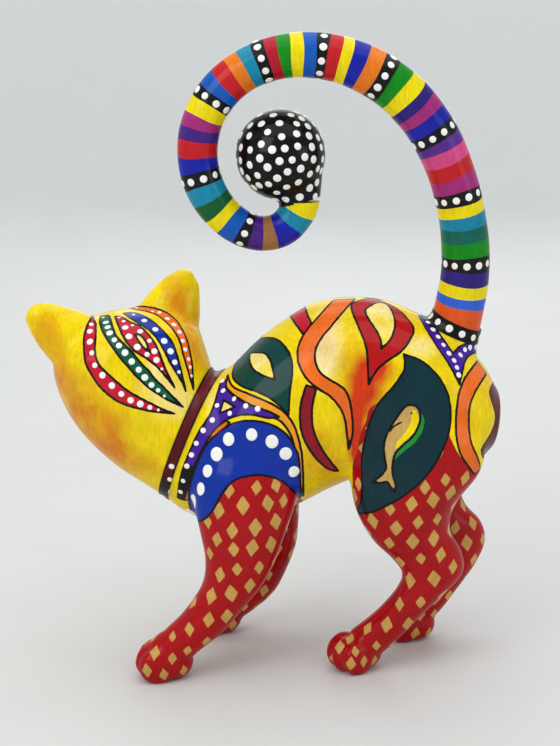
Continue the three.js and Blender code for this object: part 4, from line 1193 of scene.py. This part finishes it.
class CAT_OT_tail(bpy.types.Operator):
    """Builds the curled tail with its painted bands"""

    bl_idname = "cat.tail"
    bl_label = "Tail"

    def execute(self, context):
        run, sides = tail_run(), 80
        edges = band_edges(run)
        lengths, bands = [], []
        for k, (start, end) in enumerate(zip(edges, edges[1:])):
            steps = max(2, round((end - start) / BAND_STEP))
            lengths += [start + (end - start) * j / steps for j in range(steps)]
            bands += [k] * steps
        lengths.append(edges[-1])
        lengths = np.array(lengths)
        turn = np.arange(sides) / sides * 2 * math.pi
        at = np.repeat(lengths[:, None], sides, 1)
        ease = np.clip(np.minimum(lengths - lengths[0], lengths[-1] - lengths) / 6, 0, 1)[:, None]
        middle, long, deep, radius = tail_sections(run, at + edge_sway(lengths, edges, turn) * ease)
        ripple = 1 + 0.006 * np.sin(lengths[:, None] * 0.21 + 2 * turn[None]) * ease
        points = (middle + long * (radius * ripple)[..., None] * np.cos(turn)[None, :, None]
                  + deep * (radius * ripple)[..., None] * np.sin(turn)[None, :, None]).reshape(-1, 3)
        ends = tail_sections(run, lengths[[0, -1]])[0]
        obj = new_object("painted_tail", np.vstack([points, ends]), grid_faces(len(lengths), sides))
        paint = [linear(TAIL_COLOURS[TAIL_BANDS[k]]) + [1.0] for k in bands for _ in range(sides)]
        paint += [linear(TAIL_COLOURS["k"]) + [1.0]] * (2 * sides)
        set_values(obj.data, "band_colour", paint, "FLOAT_COLOR", "FACE")
        obj.data.shade_smooth()
        finish_piece(obj, ["tail"], banded_paint())
        return {"FINISHED"}


def edge_sway(lengths, edges, turn):
    """How far each hand-brushed band edge strays along the tail, all round it."""
    nearest = np.array([min(range(len(edges)), key=lambda k: abs(edges[k] - s)) for s in lengths])
    return (0.42 * np.sin(turn[None] + 2.1 * nearest[:, None])
            + 0.22 * np.sin(3 * turn[None] + 1.3 * nearest[:, None]))


BALL_CELL = 0.0011      # cell size of the ball's skin, in metres


class CAT_OT_ball(bpy.types.Operator):
    """Builds the ball that ends the tail, blended into it"""

    bl_idname = "cat.ball"
    bl_label = "Tail ball"

    def execute(self, context):
        parts = [ellipsoid(BALL_CENTRE, [BALL_RADIUS] * 3, sides=96, rings=60),
                 loft(tube_hoops(TAIL_STATIONS[-6:]), (0.5, 6))]
        ball = merged("painted_ball", parts)
        voxel_skin(ball, BALL_CELL)
        relax(ball.data, 60, True)
        relax(ball.data, 4, False)
        combine(ball, half_space(BALL_JOINT_POINT, BALL_JOINT_NORMAL, 200), "INTERSECT")
        ball.data.shade_smooth()
        ball.data.set_sharp_from_angle(angle=math.radians(50))
        black = context.scene.cat_colours.black
        paint = plain_paint("Varnished black acrylic on papier-mache ball", black)
        finish_piece(ball, ["tail_ball"], paint)
        return {"FINISHED"}


# ---------------------------------------------------------------- raised white dots


def dot_shape(tree, place, normal, wide, tall, height):
    """A low round blob of paint laid on the surface: its points in metres and its faces."""
    normal = Vector(unit(normal))
    across = normal.cross(Vector((0, 0, 1)))
    across = across.normalized() if across.length > 0.05 else Vector((1, 0, 0))
    up = across.cross(normal)
    sides, rings = 22, (0.32, 0.62, 0.84, 0.96, 1.0)
    points, faces = [], []

    def laid(x, y, lift):
        start = Vector(place) + across * x + up * y + normal * 0.004
        hit, slope, _, _ = tree.ray_cast(start, -normal, 0.02)
        return (hit if hit is not None else start - normal * 0.004) + (slope or normal) * lift

    points.append(laid(0, 0, height))
    for r in rings:
        lift = height * math.sqrt(max(0.0, 1 - r ** 4)) - (0.00012 if r == 1.0 else 0)
        for k in range(sides):
            a = k / sides * 2 * math.pi
            points.append(laid(wide / 2 * r * math.cos(a), tall / 2 * r * math.sin(a), lift))
    points.append(laid(0, 0, -0.0004))
    for k in range(sides):
        n = (k + 1) % sides
        faces.append((0, 1 + k, 1 + n))
        for j in range(len(rings) - 1):
            a, b = 1 + j * sides, 1 + (j + 1) * sides
            faces.append((a + k, b + k, b + n, a + n))
        last = 1 + (len(rings) - 1) * sides
        faces.append((last + k, len(points) - 1, last + n))
    return points, faces


def lay_dots(name, tree, dots, material, height):
    """One piece that holds many dots; each dot is [place in metres, normal, width, height on the skin]."""
    points, faces = [], []
    for index, (place, normal, wide, tall) in enumerate(dots):
        uneven = 1 + 0.07 * math.sin(4.3 * index)
        dot_points, dot_faces = dot_shape(tree, place, normal, wide * uneven, tall * uneven, height)
        faces += [tuple(i + len(points) for i in face) for face in dot_faces]
        points += dot_points
    mesh = bpy.data.meshes.new(name)
    mesh.from_pydata([tuple(p) for p in points], [], faces)
    obj = bpy.data.objects.new(name, mesh)
    bpy.context.scene.collection.objects.link(obj)
    mesh.shade_smooth()
    finish_piece(obj, [], material)


def to_frame(point):
    return Vector((np.asarray(point) + PLACE) * MM)


def seen_places(tree, table):
    """Where the lines from the eye point to the plate meet a surface."""
    eye, found = to_frame(EYE), []
    for x, z in table:
        hit, normal, _, _ = tree.ray_cast(eye, (to_frame((x, 0, z)) - eye).normalized())
        if hit is not None:
            found.append((hit, normal))
    return found


def right_side(tree, found):
    """The same places on the right side of the trunk, for dots on mirrored motifs."""
    mirrored = []
    for place, _ in found:
        x, y, z = np.array(place) / MM - PLACE
        shift = leg_offset(FRONT_LEFT_HOOPS, FRONT_RIGHT_HOOPS, z) * (1 - smooth_step(x, 20, 45))
        hit, normal, _, _ = tree.find_nearest(to_frame((x + collar_slant(x, y) + shift, -y, z)))
        mirrored.append((hit, normal))
    return mirrored


def spaced(found, room):
    kept = []
    for place, normal in found:
        if all((place - other).length > room for other, _ in kept):
            kept.append((place, normal))
    return kept


def stripe_room(table, usual):
    """A width for each dot on the head stripes, so that dots shrink where their stripe narrows."""
    stripes = (HEAD_STRIPE_CRIMSON, HEAD_STRIPE_GREEN, HEAD_STRIPE_BLUE, HEAD_STRIPE_ORANGE, HEAD_PETAL_RED)
    places = np.array(table, float)
    room = -np.min([signed_distance(places, stripe)[0] for stripe in stripes], axis=0)
    return np.clip(room / 2.1, 0.55, 1.25) * usual


def object_tree(name):
    return mesh_tree(bpy.data.objects[name].data)


def round_places(tree, point, normal, count, reach, first=0.0):
    """Even places round a band, found from its middle outwards."""
    normal = unit(normal)
    side = unit(np.cross(normal, [0.0, 1, 0]))
    up = np.cross(side, normal)
    found = []
    for k in range(count):
        a = first + k / count * 2 * math.pi
        way = side * math.cos(a) + up * math.sin(a)
        hit = tree.ray_cast(to_frame(np.asarray(point) + way * reach), Vector(-way))[0]
        if hit is not None:
            found.append((hit, Vector(way)))
    return found


PATCH_DOT, PATCH_DOT_STRETCH = 0.0072, 1.12         # chest patch dots: width in metres, and height to width
BALL_DOT_ROOM, COLLAR_DOT_ROOM = 0.0058, 0.0075     # least distance between two dots, in metres
TAIL_DOT_PITCH = 7.7                                # distance between dots round a band, in millimetres
SHORTEST_DOTTED_BAND = 4                            # in millimetres


class CAT_OT_dots(bpy.types.Operator):
    """Lays the raised white dots on the head, chest, collar, tail and ball"""

    bl_idname = "cat.dots"
    bl_label = "White dots"

    def execute(self, context):
        sizes = context.scene.cat_sizes
        white = white_dots(context.scene.cat_colours)
        height, skin = sizes.dot_height, mesh_tree(bpy.data.meshes["joined_skin"])
        small, tail_dot, ball_dot = sizes.head_dot, sizes.tail_dot, sizes.ball_dot

        def plain(found, size, tall=1.0):
            return [(place, normal, size, size * tall) for place, normal in found]

        widths = stripe_room(DOTS_HEAD, small)
        found = seen_places(skin, DOTS_HEAD)
        head = [(place, normal, wide, wide) for (place, normal), wide in zip(found, widths)]
        lay_dots("head_dots", skin, head, white, height)
        chest = seen_places(skin, DOTS_CHEST + DOTS_TAILROOT)
        patch = seen_places(skin, DOTS_PATCH)
        trunk = plain(chest + right_side(skin, chest), small * 1.05)
        trunk += plain(patch + right_side(skin, patch), PATCH_DOT, PATCH_DOT_STRETCH)
        lay_dots("trunk_dots", skin, trunk, white, height)
        collar = object_tree("collar_band")
        seen = seen_places(collar, DOTS_COLLAR)
        lay_dots("collar_dots", collar, plain(seen + under_collar(collar, seen), small * 1.15),
                 white, height)
        root_band = object_tree("tail_root_band")
        found = round_places(root_band, TAIL_JOINT_POINT, TAIL_JOINT_NORMAL, 12, 24, 0.3)
        lay_dots("tail_root_dots", root_band, plain(found, tail_dot), white, height)
        tail, run = object_tree("painted_tail"), tail_run()
        found = []
        for k, (start, end) in enumerate(zip(band_edges(run), band_edges(run)[1:])):
            if TAIL_BANDS[k] == "k" and end - start > SHORTEST_DOTTED_BAND:
                middle, long, deep, radius = tail_sections(run, np.array([(start + end) / 2]))
                count = round(2 * math.pi * radius[0] / TAIL_DOT_PITCH)
                axis = np.cross(deep[0], long[0])
                found += round_places(tail, middle[0], axis, count, radius[0] + 4, 0.8 * k)
        lay_dots("tail_dots", tail, plain(found, tail_dot), white, height)
        ball = object_tree("painted_ball")
        found = seen_places(ball, DOTS_BALL)
        found = spaced(found + far_ball_places(ball), BALL_DOT_ROOM)
        lay_dots("ball_dots", ball, plain(found, ball_dot), white, height)
        return {"FINISHED"}


def under_collar(tree, seen):
    """Dots that carry on under the chin, round to the right side of the collar."""
    normal, found = unit(COLLAR_NORMAL), []
    start = np.array(seen[0][0]) / MM - PLACE
    reach = float(np.linalg.norm(start - COLLAR_POINT)) + 20
    for k in range(40):
        a = k / 40 * 2 * math.pi
        side = unit(np.cross(normal, [0.0, 1, 0]))
        way = side * math.cos(a) + np.cross(side, normal) * math.sin(a)
        hit, _, _, _ = tree.ray_cast(to_frame(COLLAR_POINT + way * reach), Vector(-way))
        if hit is not None and hit.z < start[2] * MM:
            found.append((hit, Vector(way)))
    return [f for f in spaced(seen + found, COLLAR_DOT_ROOM) if f not in seen]


def far_ball_places(tree):
    """An even scatter of places over the ball, on a slowly turning spiral."""
    found, count = [], 420
    for k in range(count):
        z = 1 - 2 * (k + 0.5) / count
        a = k * math.pi * (3 - math.sqrt(5))
        way = np.array([math.sqrt(1 - z * z) * math.cos(a), math.sqrt(1 - z * z) * math.sin(a), z])
        hit, normal, _, _ = tree.ray_cast(to_frame(BALL_CENTRE + way * 40), Vector(-way))
        if hit is not None and way @ unit(BALL_JOINT_POINT - BALL_CENTRE) < 0.8:
            found.append((hit, normal))
    return found


# ---------------------------------------------------------------- materials


def add(tree, kind, sockets=None, **settings):
    """Adds a node with its settings; a socket takes a number, a colour or another node's output."""
    node = tree.nodes.new(kind)
    for name, value in settings.items():
        setattr(node, name, value)
    for name, value in (sockets or {}).items():
        if isinstance(value, bpy.types.NodeSocket):
            tree.links.new(value, node.inputs[name])
        else:
            node.inputs[name].default_value = value
    return node


def new_material(name):
    material = bpy.data.materials.new(name)
    material.use_nodes = True
    material.node_tree.nodes.clear()
    return material, material.node_tree


def rgba(value):
    return (*value[:3], 1.0)


def mix(tree, factor, a, b, blend="MIX"):
    node = add(tree, "ShaderNodeMix", {0: factor, 6: a, 7: b}, data_type="RGBA", blend_type=blend)
    return node.outputs[2]


def ramp(tree, value, low, high, to_low=0.0, to_high=1.0):
    node = add(tree, "ShaderNodeMapRange", {0: value, 1: low, 2: high, 3: to_low, 4: to_high}, clamp=True)
    return node.outputs[0]


def noise(tree, places, size, detail=3.0, rough=0.5, lumpy=0.0):
    """Cloudy variation whose lumps are about size millimetres across."""
    node = add(tree, "ShaderNodeTexNoise", {
        "Vector": places, "Scale": 1 / (size * MM), "Detail": detail,
        "Roughness": rough, "Distortion": lumpy})
    return node.outputs["Fac"]


def stretched(tree, places, scale, turn=(0, 0, 0)):
    node = add(tree, "ShaderNodeMapping", {"Vector": places, "Scale": scale, "Rotation": turn})
    return node.outputs["Vector"]


def object_places(tree):
    return add(tree, "ShaderNodeTexCoord").outputs["Object"]


# Acrylic paint brushed over pasted paper, then varnished: strokes show as faint streaks in the colour,
# the paper's low wrinkles break up the highlights, and the varnish gives a wet, sharp shine over both.
def varnished(tree, base, places, ridge=None, wrinkle=0.55):
    strokes = noise(tree, stretched(tree, places, (1, 1, 0.22), (0.25, 0.5, 0)), 1.6, 4, 0.6)
    shade = ramp(tree, strokes, 0.3, 0.75, 0.84, 1.08)
    patches = ramp(tree, noise(tree, places, 17, 3), 0.3, 0.7, 0.9, 1.06)
    tone = add(tree, "ShaderNodeMath", {0: shade, 1: patches}, operation="MULTIPLY").outputs[0]
    grey = add(tree, "ShaderNodeCombineColor", {0: tone, 1: tone, 2: tone}).outputs[0]
    painted = mix(tree, 1.0, base, grey, "MULTIPLY")
    paper = noise(tree, places, 13, 2.0, 0.45, 0.6)
    folds = noise(tree, stretched(tree, places, (0.6, 1, 1), (0.4, 0.2, 0.9)), 6.5, 2.0)
    bump = add(tree, "ShaderNodeBump", {"Height": paper, "Distance": wrinkle * MM, "Strength": 0.9})
    bump = add(tree, "ShaderNodeBump", {
        "Height": folds, "Distance": 0.22 * MM, "Strength": 0.8, "Normal": bump.outputs[0]})
    bump = add(tree, "ShaderNodeBump", {
        "Height": strokes, "Distance": 0.07 * MM, "Strength": 0.7, "Normal": bump.outputs[0]})
    if ridge is not None:
        bump = add(tree, "ShaderNodeBump", {
            "Height": ridge, "Distance": 0.12 * MM, "Strength": 0.8, "Normal": bump.outputs[0]})
    rough = ramp(tree, strokes, 0.3, 0.8, 0.3, 0.46)
    shader = add(tree, "ShaderNodeBsdfPrincipled", {
        "Base Color": painted, "Roughness": rough, "IOR": 1.48, "Specular IOR Level": 0.05,
        "Coat Weight": 0.3, "Coat Roughness": 0.09, "Coat IOR": 1.48, "Normal": bump.outputs[0]})
    add(tree, "ShaderNodeOutputMaterial", {"Surface": shader.outputs[0]})


def distance_to(tree, name):
    return add(tree, "ShaderNodeAttribute", attribute_name=name).outputs["Fac"]


# The whole skin in one coat system: yellow ground with rubbed orange, ivory lights in the petals with one
# painted highlight on the back, and a red blush, red legs, then each motif laid on with a crisp edge and a
# black brush line round it.
def skin_paint(colours):
    material, tree = new_material("Varnished acrylic paint on papier-mache skin")
    places = object_places(tree)
    cloud = noise(tree, places, 16, 4, 0.6, 0.8)
    streak = noise(tree, stretched(tree, places, (1, 1, 0.45), (0.2, 0.9, 0.1)), 9, 3, 0.55)
    mottle = add(tree, "ShaderNodeMath", {0: cloud, 1: streak}, operation="ADD").outputs[0]

    def washed(name, low, high):
        amount = distance_to(tree, name)
        level = add(tree, "ShaderNodeMath", {0: amount, 1: mottle}, operation="MULTIPLY").outputs[0]
        return ramp(tree, level, low, high)

    rubbed = ramp(tree, mottle, 0.95, 1.4, 0.0, 0.22)
    paint = mix(tree, rubbed, rgba(colours.yellow), rgba(colours.orange_wash))
    # Ivory in the petals, plus one painted highlight on the back: a pale spot standing in for a reflection.
    paint = mix(tree, washed("light", 0.05, 0.8), paint, rgba(colours.cream_and_highlight))
    paint = mix(tree, washed("warmth", 0.15, 0.95), paint, rgba(colours.orange_wash))
    paint = mix(tree, washed("flush", 0.15, 0.8), paint, rgba(colours.blush))
    fills = {
        "leg_red": colours.leg_red, "gold": colours.gold, "orange": colours.orange, "sweep": colours.sweep,
        "dark_crimson": colours.dark_crimson, "crimson": colours.crimson, "flank_orange": colours.orange,
        "red": colours.red, "teal": colours.teal, "green": colours.green, "blue": colours.blue,
        "purple": colours.purple, "maroon": colours.maroon, "leaf_green": colours.leaf_green,
        "fish_yellow": colours.yellow, "fish_gold": colours.fish_gold, "black": colours.black,
    }
    half_line = bpy.context.scene.cat_sizes.outline / 2
    ridge = None
    waver = ramp(tree, noise(tree, places, 3.2, 2), 0.2, 0.8, -0.00022, 0.00022)
    for name, outlined, _ in LAYERS:
        exact = distance_to(tree, name)
        distance = add(tree, "ShaderNodeMath", {0: exact, 1: waver}, operation="ADD").outputs[0]
        inside = ramp(tree, distance, 0.00008, -0.00008)
        if name == "green":
            across = add(tree, "ShaderNodeSeparateXYZ", {0: places}).outputs["X"]
            fill = mix(tree, ramp(tree, across, -0.045, -0.03), rgba(colours.head_green), rgba(colours.green))
        elif name == "pale":
            fill = mix(tree, ramp(tree, mottle, 0.8, 1.25), rgba(colours.cream_and_highlight), rgba(colours.yellow))
        else:
            light = ramp(tree, mottle, 0.8, 1.3, 0.0, 0.22)
            fill = mix(tree, light, rgba(fills[name]), rgba([min(1, c * 1.45 + 0.004) for c in fills[name]]))
        paint = mix(tree, inside, paint, fill)
        if outlined:
            off = add(tree, "ShaderNodeMath", {0: distance}, operation="ABSOLUTE").outputs[0]
            line = ramp(tree, off, half_line + 0.00009, half_line - 0.00009)
            paint = mix(tree, line, paint, rgba(colours.black))
            ridge = line if ridge is None else add(
                tree, "ShaderNodeMath", {0: ridge, 1: line}, operation="MAXIMUM").outputs[0]
    varnished(tree, paint, places, ridge)
    return material


# The collar: maroon acrylic that turns black under the chin, with the same varnish; towards its top the
# maroon pales to pink as a painted sheen, standing in for light on it.
def collar_paint(colours):
    material, tree = new_material("Varnished maroon acrylic on paper collar")
    places = object_places(tree)
    height = add(tree, "ShaderNodeSeparateXYZ", {0: places}).outputs["Z"]
    dark = ramp(tree, height, 0.128, 0.116)
    # Painted sheen: paler pink towards the collar's top, colour standing in for light falling on it.
    pale = ramp(tree, height, 0.15, 0.172, 0.0, 0.3)
    paint = mix(tree, pale, rgba(colours.maroon), rgba(linear("#a0424a")))
    offset = add(tree, "ShaderNodeVectorMath", {0: places, 1: to_frame(COLLAR_POINT)}, operation="SUBTRACT")
    along = add(tree, "ShaderNodeVectorMath", {0: offset.outputs[0], 1: Vector(unit(COLLAR_NORMAL))},
                operation="DOT_PRODUCT").outputs["Value"]
    off = add(tree, "ShaderNodeMath", {0: along}, operation="ABSOLUTE").outputs[0]
    edge = ramp(tree, off, (COLLAR_WIDTH / 2 - 1.0) * MM, (COLLAR_WIDTH / 2 - 0.8) * MM)
    dark = add(tree, "ShaderNodeMath", {0: dark, 1: edge}, operation="MAXIMUM").outputs[0]
    varnished(tree, mix(tree, dark, paint, rgba(colours.black)), places)
    return material


# One colour of acrylic under varnish.
def plain_paint(name, value):
    material, tree = new_material(name)
    places = object_places(tree)
    varnished(tree, mix(tree, ramp(tree, noise(tree, places, 9), 0.4, 0.8, 0, 0.25),
                        rgba(value), rgba([c * 2.4 + 0.004 for c in value])), places)
    return material


# The tail's bands: each face of the tail carries the acrylic colour of its band.
def banded_paint():
    material, tree = new_material("Varnished acrylic bands on papier-mache tail")
    band = add(tree, "ShaderNodeAttribute", attribute_name="band_colour").outputs["Color"]
    places = object_places(tree)
    streaks = noise(tree, stretched(tree, places, (1, 1, 0.3), (0, 0.7, 0)), 3.5, 4)
    worn = ramp(tree, streaks, 0.42, 0.8, 0, 0.16)
    varnished(tree, mix(tree, worn, band, rgba(linear("#e9d9c4")), "SOFT_LIGHT"), places, None, 0.4)
    return material


# Thick white acrylic dropped from a round tip: a smooth, slightly domed, glossy blob.
def white_dots(colours):
    material, tree = new_material("Thick white acrylic dots")
    places = object_places(tree)
    cloudy = ramp(tree, noise(tree, places, 2.5), 0.3, 0.7)
    tone = mix(tree, cloudy, rgba(colours.white), rgba(linear("#f0efe9")))
    bump = add(tree, "ShaderNodeBump", {
        "Height": noise(tree, places, 1.2), "Distance": 0.05 * MM, "Strength": 0.6})
    shader = add(tree, "ShaderNodeBsdfPrincipled", {
        "Base Color": tone, "Roughness": 0.32, "IOR": 1.48, "Coat Weight": 0.3, "Coat Roughness": 0.15,
        "Normal": bump.outputs[0]})
    add(tree, "ShaderNodeOutputMaterial", {"Surface": shader.outputs[0]})
    return material


# Hot-dipped galvanised steel wire: dull zinc spangle a few millimetres across, soft metallic shine.
def zinc_wire():
    material, tree = new_material("Galvanised steel wire, hot dipped")
    places = object_places(tree)
    spangle = add(tree, "ShaderNodeTexVoronoi", {"Vector": places, "Scale": 1 / (2.5 * MM)}).outputs["Color"]
    tone = mix(tree, 0.12, rgba(linear("#9fa3a6")), spangle)
    rough = ramp(tree, noise(tree, places, 1.5), 0.3, 0.7, 0.34, 0.5)
    shader = add(tree, "ShaderNodeBsdfPrincipled", {"Base Color": tone, "Metallic": 1.0, "Roughness": rough})
    add(tree, "ShaderNodeOutputMaterial", {"Surface": shader.outputs[0]})
    return material


# Twisted hemp twine: straw-coloured plies about a millimetre apart, matt and hairy.
def hemp_twine():
    material, tree = new_material("Hemp twine, twisted")
    places = object_places(tree)
    plies = add(tree, "ShaderNodeTexWave", {
        "Vector": places, "Scale": 1 / (6.3 * MM), "Distortion": 3.0, "Detail": 2.0},
        bands_direction="DIAGONAL").outputs["Fac"]
    tone = mix(tree, plies, rgba(linear("#8d7448")), rgba(linear("#c9ae78")))
    bump = add(tree, "ShaderNodeBump", {"Height": plies, "Distance": 0.2 * MM, "Strength": 0.8})
    shader = add(tree, "ShaderNodeBsdfPrincipled", {
        "Base Color": tone, "Roughness": 0.9, "IOR": 1.5, "Normal": bump.outputs[0]})
    add(tree, "ShaderNodeOutputMaterial", {"Surface": shader.outputs[0]})
    return material


class CAT_OT_armature(bpy.types.Operator):
    """Gives the wires and their lashings their real finishes"""

    bl_idname = "cat.armature"
    bl_label = "Wires and twine"

    def execute(self, context):
        wire, twine = zinc_wire(), hemp_twine()
        for name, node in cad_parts.items():
            if name.endswith("_wire") or name.endswith("_lashing"):
                node.data.materials.clear()
                node.data.materials.append(twine if name.endswith("_lashing") else wire)
        return {"FINISHED"}


# ---------------------------------------------------------------- stage


# Plain matt backing paper: pale, faintly cloudy and without shine. Up the curved wall its colour lightens,
# painted light that keeps the far wall bright.
def backing_paper():
    material, tree = new_material("Matt backing paper")
    places = object_places(tree)
    height = add(tree, "ShaderNodeSeparateXYZ", {0: places}).outputs["Z"]
    cloudy = mix(tree, noise(tree, places, 90, 3), rgba(linear("#cfcfcd")), rgba(linear("#d5d5d3")))
    # Painted light: lighter with height, so the wall reads brighter than its lamps make it.
    tone = mix(tree, ramp(tree, height, 0.0, 0.9), cloudy, rgba(linear("#f2f3f3")))
    shader = add(tree, "ShaderNodeBsdfPrincipled", {"Base Color": tone, "Roughness": 0.85, "IOR": 1.45})
    add(tree, "ShaderNodeOutputMaterial", {"Surface": shader.outputs[0]})
    return material


def area_light(name, place, aim, width, height, power):
    light = bpy.data.lights.new(name, "AREA")
    light.shape, light.size, light.size_y, light.energy = "RECTANGLE", width, height, power
    obj = bpy.data.objects.new(name, light)
    obj.location = place
    obj.rotation_euler = (Vector(aim) - Vector(place)).to_track_quat("-Z", "Y").to_euler()
    bpy.context.scene.collection.objects.link(obj)


def sweep(sides=64, flat=900.0, bend=3200.0):
    """A round floor that curves up into a low wall far from the figure: its points and faces."""
    rise = np.linspace(0, math.pi / 2, 28)
    radii = np.concatenate([[flat / 3, flat * 2 / 3], flat + bend * np.sin(rise)])
    heights = np.concatenate([[0, 0], bend * (1 - np.cos(rise))])
    turn = np.arange(sides) / sides * 2 * math.pi
    points = [(r * math.cos(a), r * math.sin(a), z) for r, z in zip(radii, heights) for a in turn]
    faces = [tuple(range(sides))]
    for j in range(len(radii) - 1):
        for k in range(sides):
            a, b = j * sides + k, j * sides + (k + 1) % sides
            faces.append((a, b, b + sides, a + sides))
    return points, faces


class CAT_OT_stage(bpy.types.Operator):
    """Sets the pale floor, the soft lights and the camera"""

    bl_idname = "cat.stage"
    bl_label = "Stage"

    def execute(self, context):
        scene = context.scene
        floor = new_object("floor", *sweep())
        floor.data.shade_smooth()
        floor.data.materials.append(backing_paper())
        world = bpy.data.worlds.new("Soft room")
        world.use_nodes = True
        world.node_tree.nodes["Background"].inputs["Color"].default_value = rgba(linear("#dfe4e8"))
        world.node_tree.nodes["Background"].inputs["Strength"].default_value = 0.75
        scene.world = world
        middle = to_frame(AIM)
        area_light("window", middle + Vector((-0.8, -0.9, 0.75)), middle, 0.7, 0.9, 6)
        area_light("ceiling", middle + Vector((0.2, 0.0, 2.3)), middle, 3.2, 3.2, 40)
        area_light("fill", middle + Vector((1.2, -0.7, 0.3)), middle, 0.6, 0.6, 1.6)
        area_light("rear", middle + Vector((0.1, 1.3, 0.6)), middle, 0.9, 0.8, 3)
        camera = bpy.data.cameras.new("camera")
        camera.sensor_fit, camera.sensor_width, camera.sensor_height = "VERTICAL", 27.02, 36.0
        camera.lens = 72.39
        obj = bpy.data.objects.new("camera", camera)
        obj.location = to_frame(EYE)
        obj.rotation_euler = (middle - obj.location).to_track_quat("-Z", "Y").to_euler()
        scene.collection.objects.link(obj)
        scene.camera = obj
        scene.view_settings.view_transform = "Standard"
        return {"FINISHED"}


class CAT_PT_panel(bpy.types.Panel):
    """Lists what builds the cat, with its sizes and colours"""

    bl_idname = "CAT_PT_panel"
    bl_label = "Painted Cat"
    bl_space_type = "VIEW_3D"
    bl_region_type = "UI"
    bl_category = "Painted Cat"

    def draw(self, context):
        for operator in OPERATORS:
            self.layout.operator(operator.bl_idname)
        for group in (context.scene.cat_sizes, context.scene.cat_colours):
            for name in group.__annotations__:
                self.layout.prop(group, name)


OPERATORS = (
    CAT_OT_skin, CAT_OT_bands, CAT_OT_tail, CAT_OT_ball, CAT_OT_dots, CAT_OT_armature, CAT_OT_stage)
CLASSES = (CatSizes, CatColours, *OPERATORS, CAT_PT_panel)


def register():
    for cls in CLASSES:
        bpy.utils.register_class(cls)
    bpy.types.Scene.cat_sizes = bpy.props.PointerProperty(type=CatSizes)
    bpy.types.Scene.cat_colours = bpy.props.PointerProperty(type=CatColours)


def unregister():
    del bpy.types.Scene.cat_sizes
    del bpy.types.Scene.cat_colours
    for cls in reversed(CLASSES):
        bpy.utils.unregister_class(cls)


def main():
    register()
    bpy.ops.cat.skin()
    bpy.ops.cat.bands()
    bpy.ops.cat.tail()
    bpy.ops.cat.ball()
    bpy.ops.cat.dots()
    bpy.ops.cat.armature()
    bpy.ops.cat.stage()


if __name__ == "__main__":
    main()
